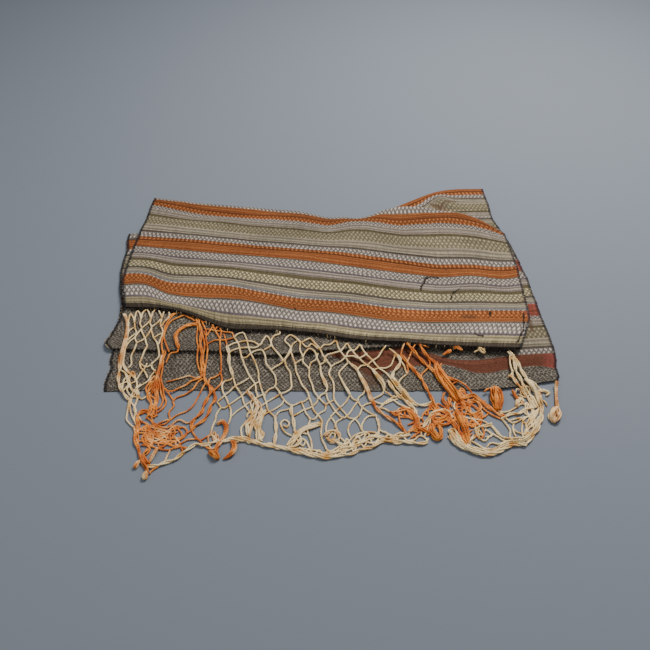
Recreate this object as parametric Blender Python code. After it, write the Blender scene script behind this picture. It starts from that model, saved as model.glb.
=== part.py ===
"""A handwoven shawl (rebozo) lying folded in four layers, its knotted fringe spread in front.

The cloth is one sheet folded back and forth. From the top down the layers are:
  top     from the near end of the cloth back to the first fold
  second  forward again to the front fold, which shows at the left
  third   back to the rear fold, which sticks out behind the top layer at the right
  bottom  forward to the far end of the cloth, flat on the table
The knotted fringe of the near end hangs from the top layer and spreads over the lower
layers and the table. Three locks of the far end's fringe stick out under the front right.

Tables are in millimetres. X runs along the cloth's width (left to right), Y from front to
back, Z up, and the whole is moved at the end so that its box stands centred on the origin.
"""
import math
import random
from collections import namedtuple

import bpy
from mathutils import Vector

MM = 0.001

# The sheet and its layers
SHEET = 1.4
LAYER_PITCH = 3.4
BOTTOM_Z = SHEET / 2
THIRD_Z = BOTTOM_Z + LAYER_PITCH
SECOND_Z = THIRD_Z + LAYER_PITCH
TOP_Z = SECOND_Z + LAYER_PITCH
COLUMNS = 26
FOLD_STEPS = 4

# The front hem of the top layer stands up a little, over the fringe's roots
HEM_LIFT = 2.2
HEM_LIFT_REACH = 26.0
# The far end's front hem stands on its own fringe at the right
FAR_HEM_LIFT = 3.4
FAR_HEM_LIFT_REACH = 34.0
FAR_HEM_FROM_X = 232.0
FAR_HEM_FULL_X = 268.0

# A line across the cloth's width: its two ends, and its Y at equal steps between them
Line = namedtuple("Line", "left right ys")
TOP_FRONT = Line(-370, 353, (-13, -18, -58, -67, -75, -90, -98, -106, -109))
TOP_FRONT_STRIPE = Line(-388, 372, (56, 36, 24, 5, -11, -27, -37, -37, -37))
TOP_MIDDLE_STRIPE = Line(-384, 377, (167, 157, 145, 133, 121, 103, 86, 82, 80))
TOP_REAR_STRIPE = Line(-369, 369, (293, 271, 257, 245, 222, 230, 238, 236, 184))
TOP_REAR = Line(-367, 368, (311, 292, 281, 267, 242, 246, 274, 261, 194))
FRONT_FOLD = Line(-381, 336, (-98, -110, -111, -120, -112, -105, -98, -92, -88))
REAR_FOLD = Line(-408, 352, (197, 207, 216, 224, 229, 229, 288, 338, 346))
BOTTOM_MIDDLE = Line(-384, 400, (20, 14, 13, 13, 13, 13, 13, 13, 18))
BOTTOM_FRONT = Line(-367, 394, (-192, -189, -190, -191, -191, -191, -190, -187, -172))

# Soft swells of a layer: middle, reach across and along the cloth, height
Swell = namedtuple("Swell", "layer x y reach_x reach_y height")
SWELLS = (
    Swell("top", 86, 262, 34, 60, 2.6),
    Swell("top", 165, 262, 52, 46, 1.3),
    Swell("top", -40, 236, 60, 40, 1.0),
    Swell("top", -286, -4, 52, 40, 1.4),
    Swell("top", 300, -60, 70, 60, 1.2),
    Swell("top", 205, 60, 90, 36, 0.9),
    Swell("third", 258, 308, 24, 18, 4.6),
)

# How the fringe lies
LIE_GAP = 0.5
FOLD_CLEARANCE = 6.5
FOLD_SLOPE_LENGTH = 24.0
HEM_CLEARANCE = 4.5
HEM_SLOPE_LENGTH = 9.0
LIFT_AHEAD = 26.0
EDGE_SNAP = 6.0
SMALL_AREA = 0.01
STRAND_HALF_WIDTH = 2.0
STRAND_HEIGHT = 1.9
KNOT_HEIGHT = 2.3
CORD_HALF_WIDTH = 3.2
CORD_HEIGHT = 3.6
ROOT_TUCK = 3.0

# The fringe's warp groups, left to right: where each one lies at five stations from its
# root at the hem to the cord along the fringe's end
Rib = namedtuple("Rib", "root upper middle lower end")
RIBS = (
    Rib((-369, -26), (-352, -112), (-347, -184), (-318, -243), (-288, -299)),
    Rib((-309, -16), (-296, -98), (-300, -168), (-292, -238), (-245, -322)),
    Rib((-252, -30), (-250, -104), (-248, -178), (-228, -240), (-197, -297)),
    Rib((-201, -50), (-194, -107), (-185, -180), (-186, -236), (-153, -287)),
    Rib((-160, -74), (-160, -118), (-138, -184), (-130, -230), (-114, -285)),
    Rib((-117, -83), (-105, -128), (-83, -184), (-78, -230), (-72, -299)),
    Rib((-75, -85), (-56, -132), (-36, -190), (-28, -230), (-28, -312)),
    Rib((-29, -87), (-10, -134), (7, -194), (16, -236), (16, -316)),
    Rib((18, -96), (34, -140), (52, -196), (60, -238), (58, -303)),
    Rib((63, -101), (81, -144), (97, -198), (105, -235), (98, -285)),
    Rib((111, -105), (128, -146), (141, -198), (143, -237), (139, -289)),
    Rib((153, -101), (170, -146), (182, -200), (182, -235), (178, -272)),
    Rib((206, -152), (214, -184), (223, -216), (224, -252), (222, -309)),
    Rib((254, -206), (259, -224), (264, -240), (258, -274), (263, -302)),
    Rib((299, -226), (301, -236), (302, -250), (306, -270), (301, -285)),
    Rib((340, -202), (347, -213), (351, -224), (352, -236), (345, -250)),
)
HALF_ROWS = 10
JITTER_X = 2.6
JITTER_Y = 2.4
FRINGE_SEED = 41

# Where strands run together: middle, reach, and how much thicker they are there
Bundle = namedtuple("Bundle", "x y reach_x reach_y thicker")
BUNDLES = (
    Bundle(-270, -255, 52, 58, 1.75),
    Bundle(-212, -120, 14, 70, 1.35),
    Bundle(-322, -170, 26, 40, 1.3),
    Bundle(208, -240, 34, 34, 1.7),
    Bundle(150, -262, 22, 24, 1.4),
    Bundle(60, -262, 26, 22, 1.3),
    Bundle(330, -240, 24, 30, 1.4),
)

# Loose ends with a tuft, each from the nearest knot of the fringe's end
Tuft = namedtuple("Tuft", "name neck head tip head_half_width head_height")
TUFTS = (
    Tuft("left_corner", (-287, -317), (-293, -328), (-297, -334), 6.5, 7.5),
    Tuft("left_knob", (-262, -330), (-266, -342), (-268, -348), 6.5, 8.0),
    Tuft("middle_knob", (-162, -298), (-166, -310), (-167, -316), 6.0, 7.5),
    Tuft("middle_curl", (-139, -296), (-141, -306), (-149, -314), 4.6, 5.0),
)

# The root bundle at the right end, from the hem down to the cream clump
RIGHT_ROOT = ((312, -107), (320, -138), (330, -170))
RIGHT_ROOT_HALF_WIDTH = 4.2

# The far end's locks, each with points from its root on the strip to its tip
Lock = namedtuple("Lock", "name root points half_widths heights")
FAR_LOCKS = (
    Lock("orange_lock", (273, -181), ((274, -192), (280, -203), (284, -210)), (4.5, 8.0, 4.5), (2.6, 5.0, 3.4)),
    Lock("mixed_lock", (310, -179), ((312, -190), (317, -200)), (3.6, 3.2), (2.4, 2.6)),
    Lock("cream_tassel", (378, -166), ((391, -184), (392, -200), (386, -214), (382, -228), (381, -238)),
         (2.6, 3.0, 3.4, 7.6, 4.4), (2.2, 2.4, 3.0, 7.4, 3.6)),
)
STRIP_LINE = ((262, -181), (273, -181), (292, -180), (310, -179), (344, -176), (378, -166))
STRIP_HALF_WIDTH = 3.0
STRIP_HEIGHT = 1.9


def line_y(line, share):
    """Y of a line at a share of its length, smooth through its points."""
    last = len(line.ys) - 1
    place = min(max(share, 0.0), 1.0) * last
    index = min(int(place), last - 1)
    t = place - index
    before = line.ys[max(index - 1, 0)]
    here, there = line.ys[index], line.ys[index + 1]
    after = line.ys[min(index + 2, last)]
    return smooth_step_through(before, here, there, after, t)


def smooth_step_through(a, b, c, d, t):
    """Catmull-Rom curve from b to c."""
    return 0.5 * (2 * b + (c - a) * t + (2 * a - 5 * b + 4 * c - d) * t ** 2
                  + (3 * b - a - 3 * c + d) * t ** 3)


def line_point(line, share):
    return line.left + share * (line.right - line.left), line_y(line, share)


def line_y_at_x(line, x):
    return line_y(line, (x - line.left) / (line.right - line.left))


def ease(value, start, end):
    """0 before start, 1 after end, smooth between."""
    t = min(max((value - start) / (end - start), 0.0), 1.0)
    return t * t * (3 - 2 * t)


def swell_height(layer, x, y):
    total = 0.0
    for swell in SWELLS:
        if swell.layer == layer:
            away = ((x - swell.x) / swell.reach_x) ** 2 + ((y - swell.y) / swell.reach_y) ** 2
            total += swell.height * math.exp(-away)
    return total


def row_between(lines, places, at):
    """One point per column on the row at a place between two of the layer's lines."""
    index = max(i for i in range(len(places) - 1) if places[i] <= at + 1e-9)
    t = (at - places[index]) / (places[index + 1] - places[index])
    row = []
    for column in range(COLUMNS):
        share = column / (COLUMNS - 1)
        around = [lines[min(max(index + k, 0), len(lines) - 1)] for k in (-1, 0, 1, 2)]
        points = [line_point(line, share) for line in around]
        row.append(tuple(smooth_step_through(*(p[axis] for p in points), t) for axis in (0, 1)))
    return row


def unsupported_drop(x, y):
    """How far the upper layers sink where they reach past the rear fold, onto the table."""
    past = y - line_y_at_x(REAR_FOLD, x)
    return (SECOND_Z - BOTTOM_Z) * ease(past, 4.0, 44.0)


def top_height(x, y):
    from_hem = y - line_y_at_x(TOP_FRONT, x)
    lift = HEM_LIFT * (1 - ease(from_hem, 0.0, HEM_LIFT_REACH))
    return TOP_Z + lift + swell_height("top", x, y) - unsupported_drop(x, y)


def second_height(x, y):
    return SECOND_Z - unsupported_drop(x, y)


def third_height(x, y):
    return THIRD_Z + swell_height("third", x, y)


def far_hem_lift(x):
    return FAR_HEM_LIFT * ease(x, FAR_HEM_FROM_X, FAR_HEM_FULL_X)


def bottom_height(x, y):
    from_hem = y - line_y_at_x(BOTTOM_FRONT, x)
    return BOTTOM_Z + far_hem_lift(x) * (1 - ease(from_hem, 8.0, FAR_HEM_LIFT_REACH))


def fold_rows(upper_row, lower_row, outward):
    """Half-round rows from the end of one layer to the start of the next, bulging outward."""
    rows = []
    for step in range(1, FOLD_STEPS):
        angle = math.pi * step / FOLD_STEPS
        row = []
        for above, below in zip(upper_row, lower_row):
            middle_z = (above[2] + below[2]) / 2
            radius = (above[2] - below[2]) / 2
            x = above[0] + (below[0] - above[0]) * step / FOLD_STEPS
            y = (above[1] + below[1]) / 2 + outward * radius * math.sin(angle)
            row.append((x, y, middle_z + radius * math.cos(angle)))
        rows.append(row)
    return rows


def layer_rows(lines, places, stations, height):
    rows = []
    for at in stations:
        rows.append([(x, y, height(x, y)) for x, y in row_between(lines, places, at)])
    return rows


def inset(line, front=0.0, left=0.0, right=0.0):
    """The line moved back by front, with its ends drawn in."""
    return Line(line.left + left, line.right - right, tuple(y + front for y in line.ys))


def cloth_centre_rows():
    """Rows of the sheet's middle surface, from the near hem down to the far hem."""
    bend = LAYER_PITCH / 2
    top_lines = [TOP_FRONT, TOP_FRONT_STRIPE, TOP_MIDDLE_STRIPE, TOP_REAR_STRIPE, inset(TOP_REAR, -bend)]
    top = layer_rows(top_lines, (0.0, 0.24, 0.56, 0.92, 1.0),
                     (0.0, 0.03, 0.07, 0.12, 0.24, 0.35, 0.45, 0.56, 0.65, 0.74, 0.83, 0.92, 1.0), top_height)
    front_fold = inset(FRONT_FOLD, bend)
    second_rear = inset(TOP_REAR, -bend, 3, 3)
    second = layer_rows([second_rear, front_fold], (0.0, 1.0),
                        (0.0, 0.1, 0.25, 0.45, 0.65, 0.85, 1.0), second_height)
    rear_fold = inset(REAR_FOLD, -bend)
    third = layer_rows([front_fold, rear_fold], (0.0, 1.0),
                       (0.0, 0.2, 0.4, 0.6, 0.75, 0.85, 0.93, 1.0), third_height)
    bottom_lines = [inset(rear_fold, 0, -1.5, -1.5), BOTTOM_MIDDLE, BOTTOM_FRONT]
    bottom = layer_rows(bottom_lines, (0.0, 0.62, 1.0),
                        (0.0, 0.16, 0.32, 0.48, 0.62, 0.74, 0.86, 0.94, 1.0), bottom_height)
    rows = list(top)
    rows += fold_rows(top[-1], second[0], 1.0)
    rows += second
    rows += fold_rows(second[-1], third[0], -1.0)
    rows += third
    rows += fold_rows(third[-1], bottom[0], 1.0)
    rows += bottom
    return rows


def sheet_from_rows(name, rows, material):
    """A closed sheet of even thickness around rows of points."""
    verts, faces = [], []
    count = len(rows)
    for side in (1.0, -1.0):
        for index, row in enumerate(rows):
            before = rows[max(index - 1, 0)]
            after = rows[min(index + 1, count - 1)]
            for column, point in enumerate(row):
                run_y = after[column][1] - before[column][1]
                run_z = after[column][2] - before[column][2]
                length = math.hypot(run_y, run_z)
                out_y, out_z = -run_z / length, run_y / length
                y = point[1] + side * out_y * SHEET / 2
                z = point[2] + side * out_z * SHEET / 2
                verts.append((point[0], y, 0.0 if z < 0.25 else z))
    width = len(rows[0])

    def at(side, row, column):
        return (side * count + row) * width + column

    for row in range(count - 1):
        for column in range(width - 1):
            faces.append((at(0, row, column), at(0, row, column + 1),
                          at(0, row + 1, column + 1), at(0, row + 1, column)))
            faces.append((at(1, row, column), at(1, row + 1, column),
                          at(1, row + 1, column + 1), at(1, row, column + 1)))
        for column, turn in ((0, 1), (width - 1, -1)):
            edge = (at(0, row, column), at(0, row + 1, column), at(1, row + 1, column), at(1, row, column))
            faces.append(edge[::turn])
    for column in range(width - 1):
        for row, turn in ((0, -1), (count - 1, 1)):
            edge = (at(0, row, column), at(0, row, column + 1), at(1, row, column + 1), at(1, row, column))
            faces.append(edge[::turn])
    return add_mesh(name, verts, faces, material)


def past_fold(x, y):
    """How far in front of the line where the fringe bends down from the front fold."""
    return line_y_at_x(FRONT_FOLD, min(x, FRONT_FOLD.right)) - FOLD_CLEARANCE - y


def past_hem(x, y):
    """How far in front of the line where the fringe bends down from the far hem."""
    return line_y_at_x(BOTTOM_FRONT, x) - HEM_CLEARANCE - y


def lie_height(x, y):
    """Height of the underside of a fringe strand: on the folds, over their edges, on the table."""
    on_second = SECOND_Z + SHEET / 2 + LIE_GAP
    on_bottom = SHEET + LIE_GAP + far_hem_lift(x + LIFT_AHEAD)
    share_fold = min(max(past_fold(x, y) / FOLD_SLOPE_LENGTH, 0.0), 1.0)
    share_hem = min(max(past_hem(x, y) / HEM_SLOPE_LENGTH, 0.0), 1.0)
    return (on_second + (on_bottom - on_second) * share_fold) * (1 - share_hem)


class Net:
    """Knots joined by strands: each strand three-sided and flat beneath, each knot raised."""

    def __init__(self):
        self.knots = []
        self.links = []

    def knot(self, x, y, half_width, height):
        self.knots.append((x, y, half_width, height))
        self.links.append(set())
        return len(self.knots) - 1

    def strand(self, a, b):
        self.links[a].add(b)
        self.links[b].add(a)

    def split(self, a, b, share):
        """Put a plain knot on the strand from a to b, and return it."""
        first, last = self.knots[a], self.knots[b]
        middle = self.knot(*(f + (g - f) * share for f, g in zip(first, last)))
        self.links[a].discard(b)
        self.links[b].discard(a)
        self.strand(a, middle)
        self.strand(middle, b)
        return middle

    def direction(self, a, b):
        return Vector((self.knots[b][0] - self.knots[a][0], self.knots[b][1] - self.knots[a][1]))

    def build(self, name, height_of, material):
        verts, faces = [], []
        corner_of, ridge_of = {}, {}

        def vertex(x, y, lift):
            verts.append((x, y, height_of(x, y) + lift))
            return len(verts) - 1

        for index, (x, y, half_width, height) in enumerate(self.knots):
            around = sorted(self.links[index], key=lambda other: math.atan2(*self.direction(index, other).yx))
            lengths = {other: self.direction(index, other).length for other in around}
            count = len(around)
            corners = []
            for order, other in enumerate(around):
                following = around[(order + 1) % count]
                start = math.atan2(*self.direction(index, other).yx)
                end = math.atan2(*self.direction(index, following).yx)
                gap = (end - start) % (2 * math.pi) if count > 1 else 2 * math.pi
                if count == 1:
                    sides = ((start + math.pi / 2, half_width), (start - math.pi / 2, half_width))
                else:
                    out = half_width / max(math.sin(gap / 2), 0.35)
                    if gap < math.pi:
                        room = 0.40 * min(lengths[other], lengths[following]) / max(math.cos(gap / 2), 0.1)
                        out = min(half_width / math.sin(gap / 2), room)
                    sides = ((start + gap / 2, out),)
                for turn, out in sides:
                    corners.append(vertex(x + out * math.cos(turn), y + out * math.sin(turn), 0.0))
            if count >= 3:
                hub = vertex(x, y, height * KNOT_HEIGHT / STRAND_HEIGHT)
                for order, other in enumerate(around):
                    left, right = corners[order], corners[order - 1]
                    middle_x = (verts[left][0] + verts[right][0]) / 2
                    middle_y = (verts[left][1] + verts[right][1]) / 2
                    corner_of[index, other] = (left, right)
                    ridge_of[index, other] = vertex(middle_x, middle_y, height)
                for order, other in enumerate(around):
                    following = around[(order + 1) % count]
                    faces.append((hub, ridge_of[index, other], corners[order]))
                    faces.append((hub, corners[order], ridge_of[index, following]))
                faces.append(tuple(reversed(corners)))
            else:
                ridge = vertex(x, y, height)
                if count == 2:
                    corner_of[index, around[0]] = (corners[0], corners[1])
                    corner_of[index, around[1]] = (corners[1], corners[0])
                else:
                    corner_of[index, around[0]] = (corners[0], corners[1])
                    faces.append((corners[0], corners[1], ridge))
                for other in around:
                    ridge_of[index, other] = ridge
        for a, others in enumerate(self.links):
            for b in others:
                if a < b:
                    left_a, right_a = corner_of[a, b]
                    right_b, left_b = corner_of[b, a]
                    top_a, top_b = ridge_of[a, b], ridge_of[b, a]
                    faces.append((left_a, top_a, top_b, left_b))
                    faces.append((right_a, right_b, top_b, top_a))
                    faces.append((left_a, left_b, right_b, right_a))
        return add_mesh(name, verts, faces, material)


def rib_point(rib, t):
    """A point on a rib, t from 0 at its root to 1 at its end."""
    place = min(t, 1.0) * (len(rib) - 1)
    index = min(int(place), len(rib) - 2)
    around = [rib[min(max(index + k, 0), len(rib) - 1)] for k in (-1, 0, 1, 2)]
    return tuple(smooth_step_through(*(p[axis] for p in around), place - index) for axis in (0, 1))


def fringe_point(across, t):
    """A point of the fringe, across counted in ribs from the left."""
    index = min(max(int(across), 0), len(RIBS) - 2)
    around = [rib_point(RIBS[min(max(index + k, 0), len(RIBS) - 1)], t) for k in (-1, 0, 1, 2)]
    return tuple(smooth_step_through(*(p[axis] for p in around), across - index) for axis in (0, 1))


def bundle_factor(x, y):
    factor = 1.0
    for bundle in BUNDLES:
        away = ((x - bundle.x) / bundle.reach_x) ** 2 + ((y - bundle.y) / bundle.reach_y) ** 2
        factor = max(factor, 1.0 + (bundle.thicker - 1.0) * math.exp(-away))
    return factor


def on_edge_if_near(x, y):
    """Y of a knot, moved onto the line where the fringe bends down if it is close to it."""
    for past in (past_fold(x, y), past_hem(x, y)):
        if abs(past) < EDGE_SNAP:
            return y + past
    return y


def split_over_edges(net):
    """Add a section to each strand where it bends down over the front fold or the far hem."""
    for past in (past_fold, past_hem):
        for a in range(len(net.knots)):
            for b in sorted(net.links[a]):
                start = past(*net.knots[a][:2])
                end = past(*net.knots[b][:2])
                if a < b and start * end < -SMALL_AREA:
                    net.split(a, b, start / (start - end))


def make_net_fringe(material):
    """The near end's knotted fringe: a diamond net over the ribs, bundled in places."""
    rng = random.Random(FRINGE_SEED)
    net = Net()
    columns = 2 * (len(RIBS) - 1)
    grid = {}
    for row in range(HALF_ROWS + 1):
        t = row / HALF_ROWS
        shift = 0.5 * (row % 2)
        for column in range(columns + 1 - row % 2):
            across = (column + shift) / 2
            x, y = fringe_point(across, t)
            inner = 0 < row < HALF_ROWS and 0 < column < columns - row % 2
            x += rng.uniform(-JITTER_X, JITTER_X) * inner
            y += rng.uniform(-JITTER_Y, JITTER_Y) * inner
            factor = bundle_factor(x, y)
            half_width, height = STRAND_HALF_WIDTH * factor, STRAND_HEIGHT * factor
            if row == 0:
                y += ROOT_TUCK * (across < 11.6)
            if row == HALF_ROWS:
                half_width, height = CORD_HALF_WIDTH, CORD_HEIGHT
            grid[row, column] = net.knot(x, on_edge_if_near(x, y), half_width, height)
    for (row, column), knot in list(grid.items()):
        step = -1 if row % 2 == 0 else 0
        for below in ((row + 1, column + step), (row + 1, column + step + 1)):
            if below in grid:
                net.strand(knot, grid[below])
        if row == HALF_ROWS and (row, column + 1) in grid:
            net.strand(knot, grid[row, column + 1])
    end_knots = [grid[HALF_ROWS, column] for column in range(columns + 1)]
    for tuft in TUFTS:
        root = min(end_knots, key=lambda k: math.dist(net.knots[k][:2], tuft.neck))
        neck = net.knot(*tuft.neck, tuft.head_half_width * 0.45, tuft.head_height * 0.45)
        head = net.knot(*tuft.head, tuft.head_half_width, tuft.head_height)
        tip = net.knot(*tuft.tip, tuft.head_half_width * 0.55, tuft.head_height * 0.45)
        net.strand(root, neck)
        net.strand(neck, head)
        net.strand(head, tip)
    last = grid[0, columns]
    for x, y in reversed(RIGHT_ROOT):
        knot = net.knot(x, y, RIGHT_ROOT_HALF_WIDTH, STRAND_HEIGHT * 1.3)
        net.strand(last, knot)
        last = knot
    split_over_edges(net)
    print("net_fringe:", len(net.knots), "knots and sections,", sum(map(len, net.links)) // 2, "strands")
    return net.build("net_fringe", lie_height, material)


def make_far_fringe(material):
    """The far end's locks that stick out under the front right, on their strip below the hem."""
    net = Net()
    strip = {}
    last = None
    for point in STRIP_LINE:
        strip[point] = net.knot(*point, STRIP_HALF_WIDTH, STRIP_HEIGHT)
        if last is not None:
            net.strand(last, strip[point])
        last = strip[point]
    for lock in FAR_LOCKS:
        last = strip[lock.root]
        for (x, y), half_width, height in zip(lock.points, lock.half_widths, lock.heights):
            knot = net.knot(x, y, half_width, height)
            net.strand(last, knot)
            last = knot
    return net.build("far_fringe", lambda x, y: 0.0, material)


def new_material(name, colour, roughness):
    material = bpy.data.materials.new(name)
    material.use_nodes = True
    shader = material.node_tree.nodes["Principled BSDF"]
    shader.inputs["Base Color"].default_value = (*colour, 1.0)
    shader.inputs["Roughness"].default_value = roughness
    shader.inputs["Metallic"].default_value = 0.0
    return material


def add_mesh(name, verts, faces, material):
    mesh = bpy.data.meshes.new(name)
    mesh.from_pydata([(x * MM, y * MM, z * MM) for x, y, z in verts], [], faces)
    mesh.update()
    mesh.materials.append(material)
    obj = bpy.data.objects.new(name, mesh)
    bpy.context.scene.collection.objects.link(obj)
    return obj


def centre_on_floor(objects):
    """Move every mesh so that the box around all of them stands centred on the origin."""
    points = [v.co for obj in objects for v in obj.data.vertices]
    low = Vector([min(p[axis] for p in points) for axis in range(3)])
    high = Vector([max(p[axis] for p in points) for axis in range(3)])
    move = Vector((-(low.x + high.x) / 2, -(low.y + high.y) / 2, -low.z))
    for obj in objects:
        for vertex in obj.data.vertices:
            vertex.co += move
        obj.data.update()
    print("size in mm:", [round(v / MM, 1) for v in high - low], "moved by", [round(v / MM, 2) for v in move])


def main():
    for obj in list(bpy.data.objects):
        bpy.data.objects.remove(obj)
    cloth = new_material("striped_cloth", (0.24, 0.20, 0.16), 0.92)
    yarn = new_material("fringe_yarn", (0.68, 0.55, 0.36), 0.85)
    far_yarn = new_material("far_fringe_yarn", (0.66, 0.42, 0.20), 0.85)
    shawl = sheet_from_rows("shawl_cloth", cloth_centre_rows(), cloth)
    net_fringe = make_net_fringe(yarn)
    far_fringe = make_far_fringe(far_yarn)
    centre_on_floor([shawl, net_fringe, far_fringe])


main()
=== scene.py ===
# %% [markdown]
# # A handwoven shawl, folded in four, with a knotted fringe
# The shawl is one long striped cloth. It lies folded back and forth in four layers, and the
# knotted fringe of its near end is spread out in front, over the lower layers and the table.
# The CAD part holds the sheet, the net of the fringe and a few locks of the far end. This
# lesson dresses each of them: a thin sheet with its stripes, and strands of twisted yarn.

import math
import random
from collections import namedtuple

import bpy
import numpy as np
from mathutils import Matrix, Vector


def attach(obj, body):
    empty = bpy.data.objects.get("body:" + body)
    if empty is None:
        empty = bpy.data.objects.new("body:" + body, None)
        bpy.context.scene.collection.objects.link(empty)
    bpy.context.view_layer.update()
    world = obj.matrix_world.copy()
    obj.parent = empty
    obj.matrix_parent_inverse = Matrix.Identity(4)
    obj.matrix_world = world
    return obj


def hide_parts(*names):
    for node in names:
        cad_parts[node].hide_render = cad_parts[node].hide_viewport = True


MM = 0.001
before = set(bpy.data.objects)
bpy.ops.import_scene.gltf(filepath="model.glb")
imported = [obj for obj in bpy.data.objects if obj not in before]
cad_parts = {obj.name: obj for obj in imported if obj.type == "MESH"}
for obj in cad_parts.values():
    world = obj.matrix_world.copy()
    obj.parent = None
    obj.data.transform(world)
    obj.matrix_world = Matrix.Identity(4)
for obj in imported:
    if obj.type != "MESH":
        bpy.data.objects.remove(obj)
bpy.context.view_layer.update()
bpy.ops.object.select_all(action="DESELECT")

# %% [markdown]
# ## Two frames and a camera
# All places below are in millimetres in the layout that the CAD part was drawn in: X runs
# along the stripes, Y from front to back, and X 0 is under the camera. The CAD part was then
# moved so that its box is centred on the origin, and LAYOUT_X and LAYOUT_Y are that move.
# The camera stands where the photograph was taken from. A place on the object could be
# measured or guessed. Here photo_place follows the ray of a pixel down to a height instead,
# so that stripes and strands can be laid just where the photograph shows them.

# %% The camera, and from a pixel to a place
LAYOUT_X = 3.86
LAYOUT_Y = 1.22
PHOTO_SIDE = 650
FOCAL_PIXELS = 610.0
SENSOR = 36.0
CAMERA_TILT = math.radians(50)
CAMERA_HEIGHT = 850.0
CAMERA_BACK = 760.0


def to_frame(points):
    """Layout millimetres to metres in the row frame."""
    return (np.asarray(points, float) + (LAYOUT_X, LAYOUT_Y, 0.0)) * MM


def photo_place(u, v, height):
    """X and Y, at a height, of what the photograph shows at pixel u, v."""
    right = (np.asarray(u, float) - PHOTO_SIDE / 2) / FOCAL_PIXELS
    down = (np.asarray(v, float) - PHOTO_SIDE / 2) / FOCAL_PIXELS
    fall = math.sin(CAMERA_TILT) + down * math.cos(CAMERA_TILT)
    reach = (CAMERA_HEIGHT - height) / fall
    ahead = math.cos(CAMERA_TILT) - down * math.sin(CAMERA_TILT)
    return reach * right, reach * ahead - CAMERA_BACK


camera_data = bpy.data.cameras.new("camera")
camera_data.sensor_width = SENSOR
camera_data.lens = SENSOR * FOCAL_PIXELS / PHOTO_SIDE
camera = bpy.data.objects.new("camera", camera_data)
camera.location = to_frame((0.0, -CAMERA_BACK, CAMERA_HEIGHT))
camera.rotation_euler = (math.pi / 2 - CAMERA_TILT, 0, 0)
bpy.context.scene.collection.objects.link(camera)
bpy.context.scene.camera = camera
print("camera at", [round(v, 3) for v in camera.location], "lens", round(camera_data.lens, 1))

# %% [markdown]
# ## The lines that the cloth follows
# A folded cloth could be simulated, but then its folds fall where they like. This one is laid
# on given lines: lines across the cloth say where its hems, folds and stripes run, and the sheet
# passes smoothly through them. The folds and the lower layers keep the CAD part's lines.
# The top layer shows most, so its lines are the edges of its orange stripes, read off the
# photograph at the points where they bend.

# %% Lines of the CAD part
# The front fold's left end alone is drawn 8 mm further forward than in the CAD part.
Line = namedtuple("Line", "left right ys")
TOP_FRONT = Line(-370, 353, (-13, -18, -58, -67, -75, -90, -98, -106, -109))
FRONT_FOLD = Line(-381, 336, (-106, -110, -111, -120, -112, -105, -98, -92, -88))
REAR_FOLD = Line(-408, 352, (197, 207, 216, 224, 229, 229, 288, 338, 346))
BOTTOM_MIDDLE = Line(-384, 400, (20, 14, 13, 13, 13, 13, 13, 13, 18))
BOTTOM_FRONT = Line(-367, 394, (-192, -189, -190, -191, -191, -191, -190, -187, -172))

SHEET = 1.4
LAYER_PITCH = 3.4
BEND = LAYER_PITCH / 2
BOTTOM_Z = SHEET / 2
THIRD_Z = BOTTOM_Z + LAYER_PITCH
SECOND_Z = THIRD_Z + LAYER_PITCH
TOP_Z = SECOND_Z + LAYER_PITCH
HEM_LIFT = 2.2
HEM_LIFT_REACH = 26.0
FAR_HEM_LIFT = 3.4
FAR_HEM_LIFT_REACH = 34.0
FAR_HEM_FROM_X = 232.0
FAR_HEM_FULL_X = 268.0

# %% Lines of the top layer, as pixels of the photograph from left to right
HEM = (
    (124, 307), (150, 307), (165, 308), (185, 312), (200, 318), (220, 326), (230, 329), (280, 329.5),
    (320, 333), (350, 338.5), (370, 340), (400, 341), (430, 344), (480, 346.5), (521.5, 347.5),
)
STRIPE_3_FRONT = (
    (122, 285), (140, 283), (150, 285), (160, 291), (170, 295), (200, 298), (230, 299), (250, 301),
    (300, 311), (330, 312), (350, 315), (390, 321), (430, 322.5), (529.5, 322.5),
)
STRIPE_3_BACK = (
    (123.5, 274), (140, 273), (150, 275), (160, 280), (170, 283), (200, 284), (230, 286), (250, 290),
    (300, 299), (330, 301), (350, 302), (390, 308.5), (430, 311), (529, 311),
)
STRIPE_2_FRONT = (
    (134, 245), (200, 251), (250, 255), (300, 259), (340, 264), (400, 272), (440, 277), (460, 275.5),
    (470, 274.5), (490, 277), (500, 279), (510, 278), (520, 276),
)
STRIPE_2_BACK = (
    (138, 236), (200, 240), (250, 245), (300, 249), (340, 252), (400, 260), (440, 265), (470, 264.5),
    (500, 267.5), (517.5, 266),
)
STRIPE_1_FRONT = (
    (151, 205.5), (160, 207), (200, 215), (250, 219), (300, 222), (330, 227), (340, 224), (350, 222),
    (370, 222), (400, 226.5), (440, 224), (460, 225), (480, 228), (500, 234), (506, 236.5),
)
STRIPE_1_BACK = (
    (154, 199.3), (180, 202.3), (200, 205), (250, 209.5), (300, 213.8), (330, 220.2), (345, 218.2),
    (355, 220), (370, 217.5), (380, 213.5), (400, 215), (440, 212.5), (460, 212.6), (480, 219.6),
    (500, 230.7), (504.5, 234),
)
TOP_REAR = (
    (154, 197.5), (180, 200.5), (200, 203), (240, 206), (300, 211), (320, 216), (330, 218), (345, 216),
    (355, 219.3), (370, 216), (380, 210.5), (400, 206), (420, 206.5), (440, 210), (460, 212), (480, 219),
    (500, 230), (504, 233),
)
BAND_BACK = (
    (345, 353), (370, 350), (400, 347), (415, 349), (430, 354), (450, 360), (475, 360), (490, 358),
    (510, 355.5), (530, 354), (556, 353),
)
BAND_FRONT = (
    (345, 358), (358, 369), (370, 378), (382, 374), (393, 369), (410, 366), (444, 364), (460, 368),
    (475, 373), (490, 373), (510, 369), (530, 366), (545, 366), (557, 369),
)

print("the hem is read at", len(HEM), "pixels and the rear edge at", len(TOP_REAR))

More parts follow.
